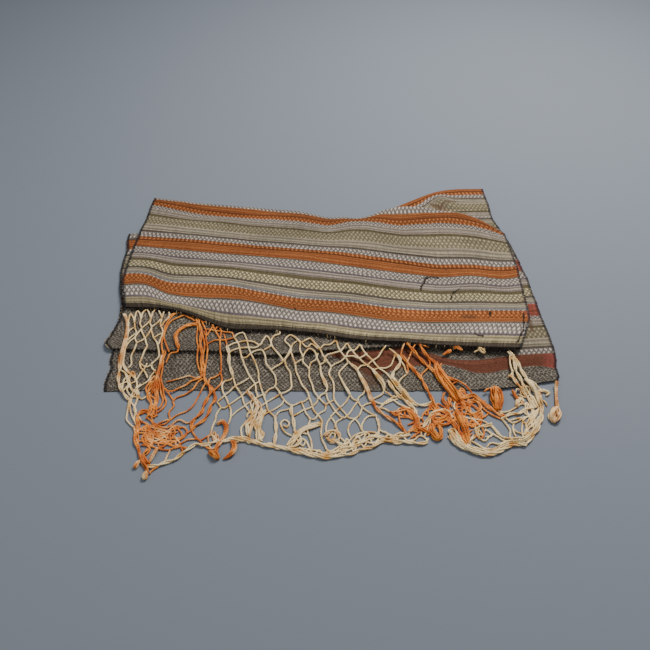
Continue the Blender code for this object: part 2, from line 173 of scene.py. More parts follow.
# %% How high each layer lies
Swell = namedtuple("Swell", "layer x y reach_x reach_y height")
SWELLS = (
    Swell("top", 86, 262, 34, 60, 2.6),
    Swell("top", 165, 262, 52, 46, 1.3),
    Swell("top", -40, 236, 60, 40, 1.0),
    Swell("top", -286, -4, 52, 40, 1.4),
    Swell("top", 300, -60, 70, 60, 1.2),
    Swell("top", 205, 60, 90, 36, 0.9),
    Swell("third", 250, 306, 17, 15, 7.5),
    Swell("third", 282, 300, 20, 14, 2.5),
    Swell("third", 262, 274, 12, 11, -1.5),
    Swell("top", 262, 236, 26, 14, 1.6),
    Swell("top", -300, 40, 40, 18, 1.6),
    Swell("top", -250, -20, 60, 16, 1.4),
)


def curve_through(values, place):
    """A smooth curve through evenly spaced values, at places counted from the first one."""
    values = np.asarray(values, float)
    last = len(values) - 1
    place = np.clip(place, 0, last)
    index = np.minimum(np.floor(place).astype(int), last - 1)
    t = place - index
    a, b = values[np.maximum(index - 1, 0)], values[index]
    c, d = values[index + 1], values[np.minimum(index + 2, last)]
    bend = 2 * b + (c - a) * t + (2 * a - 5 * b + 4 * c - d) * t ** 2
    return 0.5 * (bend + (3 * b - a - 3 * c + d) * t ** 3)


def line_y_at_x(line, x):
    return curve_through(line.ys, (x - line.left) / (line.right - line.left) * (len(line.ys) - 1))


def ease(value, start, end):
    """0 before start, 1 after end, smooth between."""
    t = np.clip((value - start) / (end - start), 0.0, 1.0)
    return t * t * (3 - 2 * t)


def lift_of(swell, x, y):
    """The swell's height in its middle, and less away from it."""
    away = ((x - swell.x) / swell.reach_x) ** 2 + ((y - swell.y) / swell.reach_y) ** 2
    return swell.height * np.exp(-away)


def swell_height(layer, x, y):
    total = 0.0
    for swell in SWELLS:
        if swell.layer == layer:
            total = total + lift_of(swell, x, y)
    return total


DROP_START = 4.0
DROP_END = 44.0
FLAT_HEM = 8.0


def unsupported_drop(x, y):
    """How far the upper layers sink where they reach past the rear fold, onto the table."""
    return (SECOND_Z - BOTTOM_Z) * ease(y - line_y_at_x(REAR_FOLD, x), DROP_START, DROP_END)


def top_height(x, y):
    lift = HEM_LIFT * (1 - ease(y - line_y_at_x(TOP_FRONT, x), 0.0, HEM_LIFT_REACH))
    return TOP_Z + lift + swell_height("top", x, y) - unsupported_drop(x, y)


def second_height(x, y):
    return SECOND_Z - unsupported_drop(x, y)


def third_height(x, y):
    return THIRD_Z + swell_height("third", x, y)


def far_hem_lift(x):
    return FAR_HEM_LIFT * ease(x, FAR_HEM_FROM_X, FAR_HEM_FULL_X)


def bottom_height(x, y):
    from_hem = y - line_y_at_x(BOTTOM_FRONT, x)
    return BOTTOM_Z + far_hem_lift(x) * (1 - ease(from_hem, FLAT_HEM, FAR_HEM_LIFT_REACH))


print("top layer over the middle stripe lies at", round(float(top_height(0.0, 100.0)), 2), "mm")

# %% [markdown]
# ## Rows of the sheet
# The sheet is a grid. Its columns run along the cloth's length and its rows across it, and
# each row knows how far along the woven pattern it is. That number, the pattern place, is
# counted in millimetres from the near hem. Stripes could be painted from object coordinates,
# but these stripes bend with the folds, so the pattern place goes into a UV map instead.
# Where the hidden layers would bring another part of the pattern to light, the pattern place
# jumps between two rows that lie almost on each other.

# %% Pattern places along the cloth, and lines as columns of points
COLUMNS = 106
ROW_SPACING = 3.6
JUMP_GAP = 0.15
SOFTENING = 5
SETTLING = 3
CLOTH_WIDTH = 760.0

HEM_PLACE = 0.0
STRIPE_3 = (47.0, 77.0)
STRIPE_2 = (184.0, 212.0)
STRIPE_1 = (294.0, 321.0)
REAR_PLACE = 331.0
DARK_START = 400.0
FAR_HEM_PLACE = 402.0
FRONT_FOLD_PLACE = 440.0
REAR_FOLD_PLACE = 193.0
BAND_START = 570.0
BAND_END = 610.0

across = np.linspace(0.0, 1.0, COLUMNS)


def line_points(line):
    return np.stack([line.left + across * (line.right - line.left),
                     curve_through(line.ys, across * (len(line.ys) - 1))], axis=1)


def photo_line(pixels, height_of):
    """Columns of points along a line of the photograph, on the surface that it shows."""
    u, v = np.array(pixels, float).T
    x, y = photo_place(u, v, TOP_Z)
    for _ in range(SETTLING):
        x, y = photo_place(u, v, height_of(x, y) + SHEET / 2)
    columns_x = np.linspace(x[0], x[-1], COLUMNS)
    columns_y = np.interp(columns_x, x, y)
    for _ in range(SOFTENING):
        columns_y[1:-1] = (columns_y[:-2] + 2 * columns_y[1:-1] + columns_y[2:]) / 4
    return np.stack([columns_x, columns_y], axis=1)


def shifted(line, back, ends=0.0):
    """The line moved back, with its ends drawn in."""
    return line + np.stack([ends * (1 - 2 * across), np.full(COLUMNS, back)], axis=1)


def between(first, second, share):
    return first + (second - first) * share


# %% From guide lines to rows
Guide = namedtuple("Guide", "line place next_place", defaults=(None,))
Row = namedtuple("Row", "points place")


def row_at(x, y, height_of, place):
    return Row(np.stack([x, y, height_of(x, y)], axis=1), place + np.zeros(COLUMNS))


def rows_through(guides, height_of):
    """Rows that pass smoothly through guide lines, the pattern place even between them."""
    rows = []
    for index in range(len(guides) - 1):
        here, there = guides[index], guides[index + 1]
        around = [guides[min(max(index + k, 0), len(guides) - 1)].line for k in (-1, 0, 1, 2)]
        length = float(np.mean(np.linalg.norm(there.line - here.line, axis=1)))
        count = max(2, math.ceil(length / ROW_SPACING))
        start = here.place if here.next_place is None else here.next_place
        shares = [step / count for step in range(count)]
        if here.next_place is not None:
            rows.append(row_at(*here.line.T, height_of, here.place))
            shares[0] = JUMP_GAP / length
        for share in shares:
            x, y = curve_through(np.array(around), 1 + share).T
            rows.append(row_at(x, y, height_of, start + (there.place - start) * share))
    rows.append(row_at(*guides[-1].line.T, height_of, guides[-1].place))
    return rows


FOLD_STEPS = 8


def fold_rows(upper, lower, outward):
    """Half-round rows from the end of one layer to the start of the next."""
    rows = []
    for step in range(1, FOLD_STEPS):
        share = step / FOLD_STEPS
        angle = math.pi * share
        radius = (upper.points[:, 2] - lower.points[:, 2]) / 2
        points = between(upper.points, lower.points, share)
        points[:, 1] = (upper.points[:, 1] + lower.points[:, 1]) / 2 + outward * radius * math.sin(angle)
        points[:, 2] = (upper.points[:, 2] + lower.points[:, 2]) / 2 + radius * math.cos(angle)
        rows.append(Row(points, between(upper.place, lower.place, share)))
    return rows


# %% The four layers
rear_line = shifted(photo_line(TOP_REAR, top_height), -BEND)
top = rows_through([
    Guide(photo_line(HEM, top_height), HEM_PLACE),
    Guide(photo_line(STRIPE_3_FRONT, top_height), STRIPE_3[0]),
    Guide(photo_line(STRIPE_3_BACK, top_height), STRIPE_3[1]),
    Guide(photo_line(STRIPE_2_FRONT, top_height), STRIPE_2[0]),
    Guide(photo_line(STRIPE_2_BACK, top_height), STRIPE_2[1]),
    Guide(photo_line(STRIPE_1_FRONT, top_height), STRIPE_1[0]),
    Guide(photo_line(STRIPE_1_BACK, top_height), STRIPE_1[1]),
    Guide(rear_line, REAR_PLACE),
], top_height)

SECOND_INSET = 3.0
DARK_DEPTH = 96.0
DARK_BEHIND_FOLD = 34.0
front_fold_line = shifted(line_points(FRONT_FOLD), BEND)
second = rows_through([
    Guide(shifted(rear_line, 0.0, SECOND_INSET), REAR_PLACE, FRONT_FOLD_PLACE + DARK_DEPTH + 2),
    Guide(shifted(front_fold_line, DARK_DEPTH), FRONT_FOLD_PLACE + DARK_DEPTH),
    Guide(front_fold_line, FRONT_FOLD_PLACE + BEND),
], second_height)

REAR_SKEW = 31.0
REAR_SEEN = 98.0
HIDDEN_DEPTH = 60
LIGHT_START = 226.0
rear_fold_line = shifted(line_points(REAR_FOLD), -BEND)
skew = REAR_SKEW * (1 - across) ** 2
third = rows_through([
    Guide(front_fold_line, FRONT_FOLD_PLACE - BEND),
    Guide(shifted(front_fold_line, DARK_BEHIND_FOLD), FRONT_FOLD_PLACE - DARK_BEHIND_FOLD, REAR_PLACE),
    Guide(shifted(rear_fold_line, -REAR_SEEN - HIDDEN_DEPTH), LIGHT_START + HIDDEN_DEPTH),
    Guide(shifted(rear_fold_line, -REAR_SEEN), LIGHT_START, REAR_FOLD_PLACE + REAR_SEEN - skew),
    Guide(shifted(rear_fold_line, -(STRIPE_2[1] - REAR_FOLD_PLACE)), STRIPE_2[1] - skew),
    Guide(rear_fold_line, REAR_FOLD_PLACE - skew),
], third_height)

BOTTOM_OUTSET = -1.5
BAND_HIDDEN_Y = -72.0
BAND_HIDDEN_WIDTH = 6
BAND_SEEN_FROM_X = 20.0
BAND_BLEND = 60
middle_line = line_points(BOTTOM_MIDDLE)
far_hem_line = line_points(BOTTOM_FRONT)
bottom_rear_line = shifted(rear_fold_line, 0.0, BOTTOM_OUTSET)


def band_line(pixels, hidden_y):
    """An edge of the red band: read off the photograph at the right, hidden at the left."""
    seen = photo_line(pixels, bottom_height)
    x = middle_line[:, 0]
    y = np.interp(x, seen[:, 0], seen[:, 1])
    show = ease(x, BAND_SEEN_FROM_X - BAND_BLEND, BAND_SEEN_FROM_X)
    return np.stack([x, hidden_y + (y - hidden_y) * show], axis=1)


band_back = band_line(BAND_BACK, BAND_HIDDEN_Y)
band_front = band_line(BAND_FRONT, BAND_HIDDEN_Y - BAND_HIDDEN_WIDTH)
dark_at_band = FAR_HEM_PLACE + band_front[:, 1] - far_hem_line[:, 1]

# Where the stripes of the bottom layer come to light at the right: their share of the way from
# the rear fold to the middle line and, for the last two, how far they lie in front of that line
BLEACHED_START = 83.0
SEEN_BEHIND = (
    (0.08, STRIPE_2[0], None),
    (0.36, BLEACHED_START, STRIPE_1[1]),
    (0.445, STRIPE_1[0], None),
    (0.686, STRIPE_2[1], None),
    (0.771, STRIPE_2[0], None),
)
SEEN_IN_FRONT = ((13.0, BLEACHED_START, STRIPE_1[1]), (45.0, STRIPE_1[0], None))
bottom = rows_through([
    Guide(bottom_rear_line, REAR_FOLD_PLACE - BEND - skew),
    *(Guide(between(bottom_rear_line, middle_line, share), *places) for share, *places in SEEN_BEHIND),
    *(Guide(shifted(middle_line, -ahead), *places) for ahead, *places in SEEN_IN_FRONT),
    Guide(band_back, STRIPE_2[1], BAND_START),
    Guide(band_front, BAND_END, dark_at_band),
    Guide(far_hem_line, FAR_HEM_PLACE),
], bottom_height)
print("rows in the layers:", len(top), len(second), len(third), len(bottom))

# %% [markdown]
# ## The selvages
# The cloth's finished side edges are the selvages. Those of the lower layers wander out from
# under the top one. A straight edge would be simpler, but in a folded cloth the eye reads the
# layers by these edges. So each row is stretched or drawn in until its ends meet the edge that
# the photograph shows.

# %% Draw the selvages of the lower layers to where they lie
# Pixels of the photograph from front to back, read off where an edge shows and guessed below
FRONT_LEFT = (
    (112, 349), (108, 346), (105.5, 343), (106, 340.5), (108.5, 338), (111, 334), (114, 329), (116.5, 324),
    (119, 320), (120.5, 315), (122, 310),
)
REAR_RIGHT = ((493, 219), (490.5, 212), (489, 205), (486.5, 199), (484.5, 194), (483, 189.5))
SECOND_LEFT = FRONT_LEFT + ((123, 300), (124, 285), (126, 270), (136, 240), (153, 206), (157, 199))
SECOND_RIGHT = (
    (519, 347), (517, 341), (520, 328), (521, 312), (517, 277), (514, 267), (502, 235), (481, 219),
)
THIRD_LEFT = FRONT_LEFT + ((121, 300), (119.5, 290), (120, 280), (120.5, 270), (122.5, 263), (124.5, 256),
                           (127, 250), (127, 240), (128.5, 234.5))
THIRD_RIGHT = (
    (519, 347), (517, 341), (517, 325), (519, 310), (519, 290), (515, 268), (511, 255), (504, 234),
    (498, 226),
) + REAR_RIGHT
BOTTOM_LEFT = (
    (109, 395), (104, 391), (104, 386), (105, 382), (107, 377), (109, 372), (111, 369), (110, 364),
    (110, 360), (111.5, 355), (112.5, 350), (116, 335), (122, 300), (124, 270), (127, 256), (129, 240),
    (131, 236),
)
BOTTOM_RIGHT = (
    (557, 383), (559, 378), (557.5, 372), (556.5, 366), (556.5, 358), (555.5, 352), (553.5, 346), (551, 339),
    (548, 331), (545, 324), (542, 317), (539, 309), (536.5, 301), (533.5, 295), (531, 288), (529, 281),
    (525.5, 274), (522, 268), (519, 260), (515.5, 254), (512, 247), (508.5, 241), (504.5, 235.5), (498, 227),
) + REAR_RIGHT


def draw_in(rows, left, right, layer_z):
    """Moves the ends of each row to the two edges, and the points between in proportion."""
    left_x, left_y = photo_place(*np.array(left, float).T, layer_z + SHEET / 2)
    right_x, right_y = photo_place(*np.array(right, float).T, layer_z + SHEET / 2)
    for row in rows:
        start, end = row.points[0].copy(), row.points[-1].copy()
        new_start = np.interp(start[1], left_y, left_x)
        new_end = np.interp(end[1], right_y, right_x)
        share = (row.points[:, 0] - start[0]) / (end[0] - start[0])
        row.points[:, 0] = new_start + (new_end - new_start) * share


draw_in(second, SECOND_LEFT, SECOND_RIGHT, SECOND_Z)
draw_in(third, THIRD_LEFT, THIRD_RIGHT, THIRD_Z)
draw_in(bottom, BOTTOM_LEFT, BOTTOM_RIGHT, BOTTOM_Z)

# Round the buckle at the rear the stripes of the third layer bend back
BUCKLE = Swell("third", 248, 292, 24, 22, 20.0)
for row in third:
    row.place[:] = row.place + lift_of(BUCKLE, row.points[:, 0], row.points[:, 1])

# Behind the red band the dark part shows as far as the front fold reaches, and the striped
# part only beyond it
STRIPED_FROM_X = 334.0
HIDDEN_DARK_BACK = -60.0
HIDDEN_DARK_SHIFT = 230.0
for row in bottom:
    is_covered = (row.points[:, 0] < STRIPED_FROM_X) & (row.points[:, 1] < HIDDEN_DARK_BACK)
    row.place[is_covered & (row.place < DARK_START)] += HIDDEN_DARK_SHIFT

sheet_rows = top + fold_rows(top[-1], second[0], 1.0) + second + fold_rows(second[-1], third[0], -1.0)
sheet_rows += third + fold_rows(third[-1], bottom[0], 1.0) + bottom
print("rows together", len(sheet_rows))

# %% [markdown]
# ## The sheet
# Handwoven cloth is about a millimetre thick. It could be a single surface, but its edges
# would then look like paper, so the grid is laid on the rows and Solidify gives it a body.
# Soft noise keeps the layers from lying like boards.

# %% Lay a grid on the rows
from mathutils import noise

CLOTH_THICKNESS = 1.15
RIPPLE_HEIGHT = 0.42
RIPPLE_SIZE = 34.0
RIPPLE_STRETCH = 2.6
EDGE_WANDER = 1.6
EDGE_WANDER_SIZE = 6.0
SELVAGE_WANDER_STEP = 0.6


def add_ripples(points):
    """Lifts and lowers each point a little, in ripples that are longer across the cloth."""
    for index, (x, y, z) in enumerate(points):
        spot = Vector((x / RIPPLE_STRETCH, y, z * 3)) / RIPPLE_SIZE
        points[index, 2] += RIPPLE_HEIGHT * (noise.noise(spot) + 0.5 * noise.noise(spot * 2.3))


def wander_edges(points, rows):
    """Makes the hems and selvages a little uneven."""
    grid = points.reshape(rows, COLUMNS, 3)
    for column in range(COLUMNS):
        for row in (0, rows - 1):
            spot = Vector((grid[row, column, 0] / EDGE_WANDER_SIZE, row, 0))
            grid[row, column, 1] += EDGE_WANDER * noise.noise(spot)
    for row in range(rows):
        for column in (0, COLUMNS - 1):
            spot = Vector((row * SELVAGE_WANDER_STEP, column, 4.0))
            grid[row, column, 0] += EDGE_WANDER * noise.noise(spot)


def lay_sheet(name, rows):
    bpy.ops.mesh.primitive_grid_add(x_subdivisions=COLUMNS - 1, y_subdivisions=len(rows) - 1, size=1)
    sheet = bpy.context.object
    sheet.name = name
    points = np.concatenate([row.points for row in rows])
    add_ripples(points)
    wander_edges(points, len(rows))
    points[:, 2] = np.maximum(points[:, 2], CLOTH_THICKNESS / 2)
    sheet.data.vertices.foreach_set("co", to_frame(points).ravel())
    places = np.concatenate([row.place for row in rows])
    along = np.tile(across * CLOTH_WIDTH, len(rows))
    corners = np.zeros(len(sheet.data.loops), int)
    sheet.data.loops.foreach_get("vertex_index", corners)
    while sheet.data.uv_layers:
        sheet.data.uv_layers.remove(sheet.data.uv_layers[0])
    weave = sheet.data.uv_layers.new(name="weave")
    weave.data.foreach_set("uv", np.stack([along[corners], places[corners]], axis=1).ravel())
    return sheet


def apply_all(obj):
    """Applies the object's modifiers in order."""
    bpy.context.view_layer.objects.active = obj
    for modifier in list(obj.modifiers):
        bpy.ops.object.modifier_apply(modifier=modifier.name)


shawl = lay_sheet("striped_shawl", sheet_rows)
print("grid vertices", len(shawl.data.vertices), "wanted", len(sheet_rows) * COLUMNS)
body = shawl.modifiers.new("body", "SOLIDIFY")
body.thickness = CLOTH_THICKNESS * MM
body.offset = 0.0
apply_all(shawl)
bpy.ops.object.shade_smooth()
bpy.ops.object.select_all(action="DESELECT")
print("sheet triangles", 2 * len(shawl.data.polygons))

# %% [markdown]
# ## The net of the fringe
# The fringe is the cloth's own warp ends. They are knotted by hand into a net of diamonds,
# and the net has been pulled about: strands run together into bundles, arcs and tangles, and
# much of it took an orange dye from the stripes. A regular net would be quicker, but no cell
# of this one is like the next. So each strand is a route of a few pixels, and photo_place
# puts it down on whatever lies below: the fold, the far layer or the table.
# A row of the tables has the dye at the route's two ends, from 0 for cream to 1 for orange,
# then its points and, where it isn't one strand, how many strands lie together in it.

# %% Strands at the left
LEFT_NET = (
    (0.25, 0.3, ((124, 314), (127, 320), (127.5, 330), (125, 341), (123, 350), (121, 361), (119.5, 371),
     (118.5, 381), (121, 389), (125, 395), (129, 400)), 2),
    (0.15, 0.3, ((126, 317), (128.5, 326), (127, 340), (124.5, 352), (123.5, 363), (128, 371), (134, 376),
     (137, 383), (136, 391), (133, 397))),
    (0.1, 0.1, ((128, 322), (130.5, 314), (133, 317), (134.5, 322))),
    (0.05, 0.05, ((134.5, 322), (135.5, 314.5), (137.5, 311), (140, 314), (141, 319))),
    (0.05, 0.05, ((141, 319), (143, 312.5), (147, 309.8), (149.5, 314), (151, 319))),
    (0.05, 0.05, ((151, 319), (153, 312), (157, 309.3), (160, 313), (162, 318))),
    (0.05, 0.1, ((162, 318), (164, 312), (167, 309), (169, 312), (169, 317), (164, 322), (161, 327))),
    (0.05, 0.05, ((162, 318), (157, 323), (152, 327), (151.5, 331), (154, 338), (157, 343), (158.5, 350),
     (159, 356), (156, 360), (152, 364), (152, 368), (155, 371))),
    (0.05, 0.05, ((151, 319), (147, 324), (142, 328), (142, 332), (145, 338), (146, 343), (147, 346),
     (145, 350), (142, 357), (140, 363), (141, 368), (145, 372), (147.5, 378))),
    (0.05, 0.05, ((151, 319), (150, 323), (152, 327))),
    (0.05, 0.05, ((141, 319), (140, 324), (142, 328))),
    (0.05, 0.05, ((152, 327), (149, 333), (145, 338), (141, 341), (137, 343), (134, 350), (131, 357),
     (131.5, 364), (128, 368))),
    (0.05, 0.05, ((162, 318), (160.5, 324), (163, 332), (158, 335), (154, 338))),
    (0.05, 0.05, ((163, 332), (161, 338), (158, 345))),
    (0.05, 0.1, ((142, 328), (138, 333), (134, 338), (129, 342), (126, 347), (124, 354))),
    (0.1, 0.1, ((134.5, 322), (135, 328), (136.5, 333), (135, 338), (137, 343))),
    (0.1, 0.1, ((135, 327), (130, 330), (127.5, 334))),
    (0.1, 0.1, ((136.5, 333), (131, 337), (127, 341))),
    (0.05, 0.1, ((155, 371), (151, 376), (148, 381), (140, 386), (134, 391), (131, 397), (129, 402),
     (128, 408), (127, 414), (126.5, 420), (130, 424), (134, 428), (135, 434))),
    (0.05, 0.1, ((147, 363), (144, 369), (140, 374), (137, 379), (134, 380))),
    (0.05, 0.05, ((140, 363), (146, 367), (152, 364))),
    (0.05, 0.2, ((122, 360), (124, 368), (130, 374), (135, 378), (137, 386), (133, 391), (129, 385),
     (127, 379), (125, 372))),
    (0.1, 0.15, ((121, 370), (126, 374), (129, 380), (131, 388), (136, 393), (137, 400), (134, 406))),
    (0.1, 0.15, ((131, 384), (127, 389), (130, 395), (136, 397), (139, 394), (137, 388), (141, 384))),
    (0.1, 0.25, ((156, 389), (149, 394), (142, 399), (138, 395), (136, 389))),
    (0.05, 0.3, ((132, 398), (130, 405), (131, 413), (134, 420), (138, 427), (137, 434))),
    (0.1, 0.5, ((139, 396), (136, 403), (134, 410), (138, 416), (142, 422))),
    (0.05, 0.3, ((129, 400), (133, 405), (136, 411), (134, 418), (136, 425))),
)

LEFT_ORANGE = (
    (0.75, 0.9, ((161, 327), (165, 321), (170, 316), (175, 313), (181, 313), (188, 315), (195, 317),
     (199, 319))),
    (0.8, 0.95, ((169, 352), (166, 344), (164, 337), (166, 329), (170, 322), (177, 318), (184, 315.5),
     (190, 318), (195, 321))),
    (0.85, 0.8, ((163, 353), (161.5, 344), (163.5, 335), (165, 327), (169, 320), (174, 314.5), (180, 312.5))),
    (0.85, 0.75, ((199, 319), (204, 322), (210, 321), (213, 326), (215, 329), (219, 326.5), (221, 332),
     (220, 339))),
    (0.8, 0.9, ((198, 325), (191, 325), (185, 327), (180, 330), (176, 335), (176.5, 342), (178.5, 348)), 3),
    (0.75, 0.9, ((178.5, 348), (177, 352), (171, 353), (168, 358), (166, 363))),
    (0.9, 0.85, ((196, 318), (197.5, 328), (196.5, 338), (198, 348), (197, 358), (198, 366), (202, 377))),
    (0.85, 0.85, ((198, 320), (201, 332), (200.5, 344), (202, 356), (201.5, 366), (203, 374), (206, 382)), 2),
    (0.8, 0.85, ((199, 322), (203, 336), (204.5, 347), (203, 358), (204.5, 368), (205, 376))),
    (0.75, 0.8, ((202, 322), (206, 331), (206, 339), (207.5, 346), (207, 356), (205.5, 366), (204, 376))),
    (0.75, 0.7, ((206, 345), (211, 342), (216, 340), (223, 340), (229, 339), (234, 337.5))),
    (0.8, 0.75, ((220, 339), (220, 348), (221, 357), (221, 366), (220.5, 373), (215, 377), (210, 379),
     (208, 385))),
    (0.8, 0.7, ((206, 329), (212, 330), (219, 331), (226, 332), (232, 333), (234, 337.5))),
    (0.8, 0.75, ((204, 331), (206, 336), (209, 332), (213, 326))),
    (0.75, 0.75, ((215, 329), (217, 334), (220, 339))),
    (0.7, 0.75, ((220.5, 373), (222, 381), (218, 387), (213, 391))),
    (0.7, 0.5, ((224, 334), (226, 341), (227, 347))),
    (0.75, 0.6, ((203, 376), (198, 379), (191, 381), (186, 385), (179, 388), (173, 391), (168, 391))),
    (0.8, 0.8, ((204, 378), (198, 382), (193, 389), (186, 394), (178, 397), (173, 401), (174, 406),
     (169, 412), (170, 418))),
    (0.65, 0.8, ((206, 382), (201, 391), (197, 399), (193, 406), (187, 411), (179, 414), (171, 419),
     (165, 424), (159, 425))),
    (0.8, 0.95, ((206, 382), (211, 390), (208, 398), (204, 405), (202, 412), (196, 418), (192, 423),
     (191.5, 430)), 2),
    (0.8, 0.9, ((208, 384), (214, 392), (215, 400), (211, 406), (209, 413), (204, 420), (197, 425),
     (191.5, 430)), 2),
    (0.75, 0.4, ((209, 386), (213, 391), (216, 401))),
    (0.85, 0.9, ((191.5, 430), (195, 436), (200, 441), (205, 446), (211, 450))),
    (0.6, 0.6, ((201, 376), (195, 378), (189, 376), (182, 378), (174, 380), (166, 382))),
    (0.85, 0.9, ((165, 351), (163, 359), (160, 367), (158, 375), (154, 382), (150, 388), (148, 396),
     (151, 403), (150, 411), (147, 418)), 2),
    (0.8, 0.9, ((163, 353), (163, 362), (162, 371), (161, 379), (163, 387), (164, 395), (166, 402),
     (163, 408), (157, 413))),
    (0.75, 0.85, ((160, 368), (157, 378), (156, 387), (158, 395), (157, 403), (154, 409), (151, 416))),
    (0.6, 0.85, ((155, 371), (158, 377), (160, 385), (161, 393), (163, 400), (160, 407), (154, 410))),
    (0.8, 0.85, ((162, 386), (167, 391), (171, 397), (174, 401))),
    (0.85, 0.9, ((157, 380), (150, 383), (146, 388), (149, 395), (155, 399), (154, 406), (147, 411),
     (141, 414))),
)

LEFT_TANGLE = (
    (0.9, 0.8, ((147, 411), (141, 412), (137, 419), (139, 426), (136, 433), (134.5, 441), (138, 447),
     (140, 454), (142, 460), (146, 466)), 2),
    (0.55, 0.75, ((134, 427), (135, 434), (137, 441), (139, 448), (141, 456), (144, 463), (148, 469))),
    (0.85, 0.8, ((151, 416), (154, 424), (160, 429), (168, 431), (176, 429), (183, 427), (187, 431),
     (184, 437), (177, 441), (168, 444), (158, 443), (149, 440), (141, 439))),
    (0.75, 0.5, ((154, 423), (161, 427), (169, 427), (175, 422), (180, 420), (186, 423), (191, 422))),
    (0.8, 0.85, ((148, 431), (156, 436), (164, 440), (173, 441), (180, 438), (186, 434), (192, 430))),
    (0.75, 0.45, ((141, 445), (150, 446), (159, 449), (167, 450), (174, 448), (180, 444), (187, 440),
     (195, 439), (201, 440), (206, 437), (211, 434))),
    (0.9, 0.8, ((139, 431), (146, 427), (152, 431), (158, 437), (165, 443), (172, 445))),
    (0.85, 0.85, ((158, 467), (154, 469), (151, 471.5), (149.5, 474))),
    (0.85, 0.6, ((147, 418), (152, 422), (155, 429), (158, 434), (164, 436), (171, 433), (178, 432))),
    (0.8, 0.55, ((138, 428), (145, 431), (151, 427), (158, 424), (164, 421), (170, 419))),
    (0.8, 0.7, ((136, 442), (143, 441), (149, 444), (156, 448), (164, 446), (171, 439), (175, 433),
     (173, 427))),
    (0.85, 0.85, ((142, 422), (148, 425), (147, 432), (142, 437), (144, 443), (150, 449), (146, 455))),
    (0.35, 0.2, ((170, 450), (167, 456), (164, 463))),
    (0.7, 0.6, ((180, 444), (182, 449), (184, 453))),
    (0.75, 0.6, ((148, 449), (144, 454), (145, 460), (150, 464)), 2),
    (0.75, 0.55, ((162, 429), (169, 433), (175, 437), (180, 443))),
    (0.1, 0.1, ((146, 466), (152, 466.5), (158, 465.5), (164, 463), (171, 461.5), (177, 458), (183, 453),
     (189, 449), (196, 444.5), (203, 445), (210, 444), (217, 441)), 2),
    (0.05, 0.1, ((217, 441), (214, 437), (211, 434), (212, 428), (215, 421), (216, 415), (219, 410),
     (221, 407.5), (217, 402))),
    (0.45, 0.7, ((217, 424), (223, 422), (226.5, 427), (225, 434), (221, 441), (217, 448), (215, 454)), 3),
)

print("routes at the left", len(LEFT_NET + LEFT_ORANGE + LEFT_TANGLE))

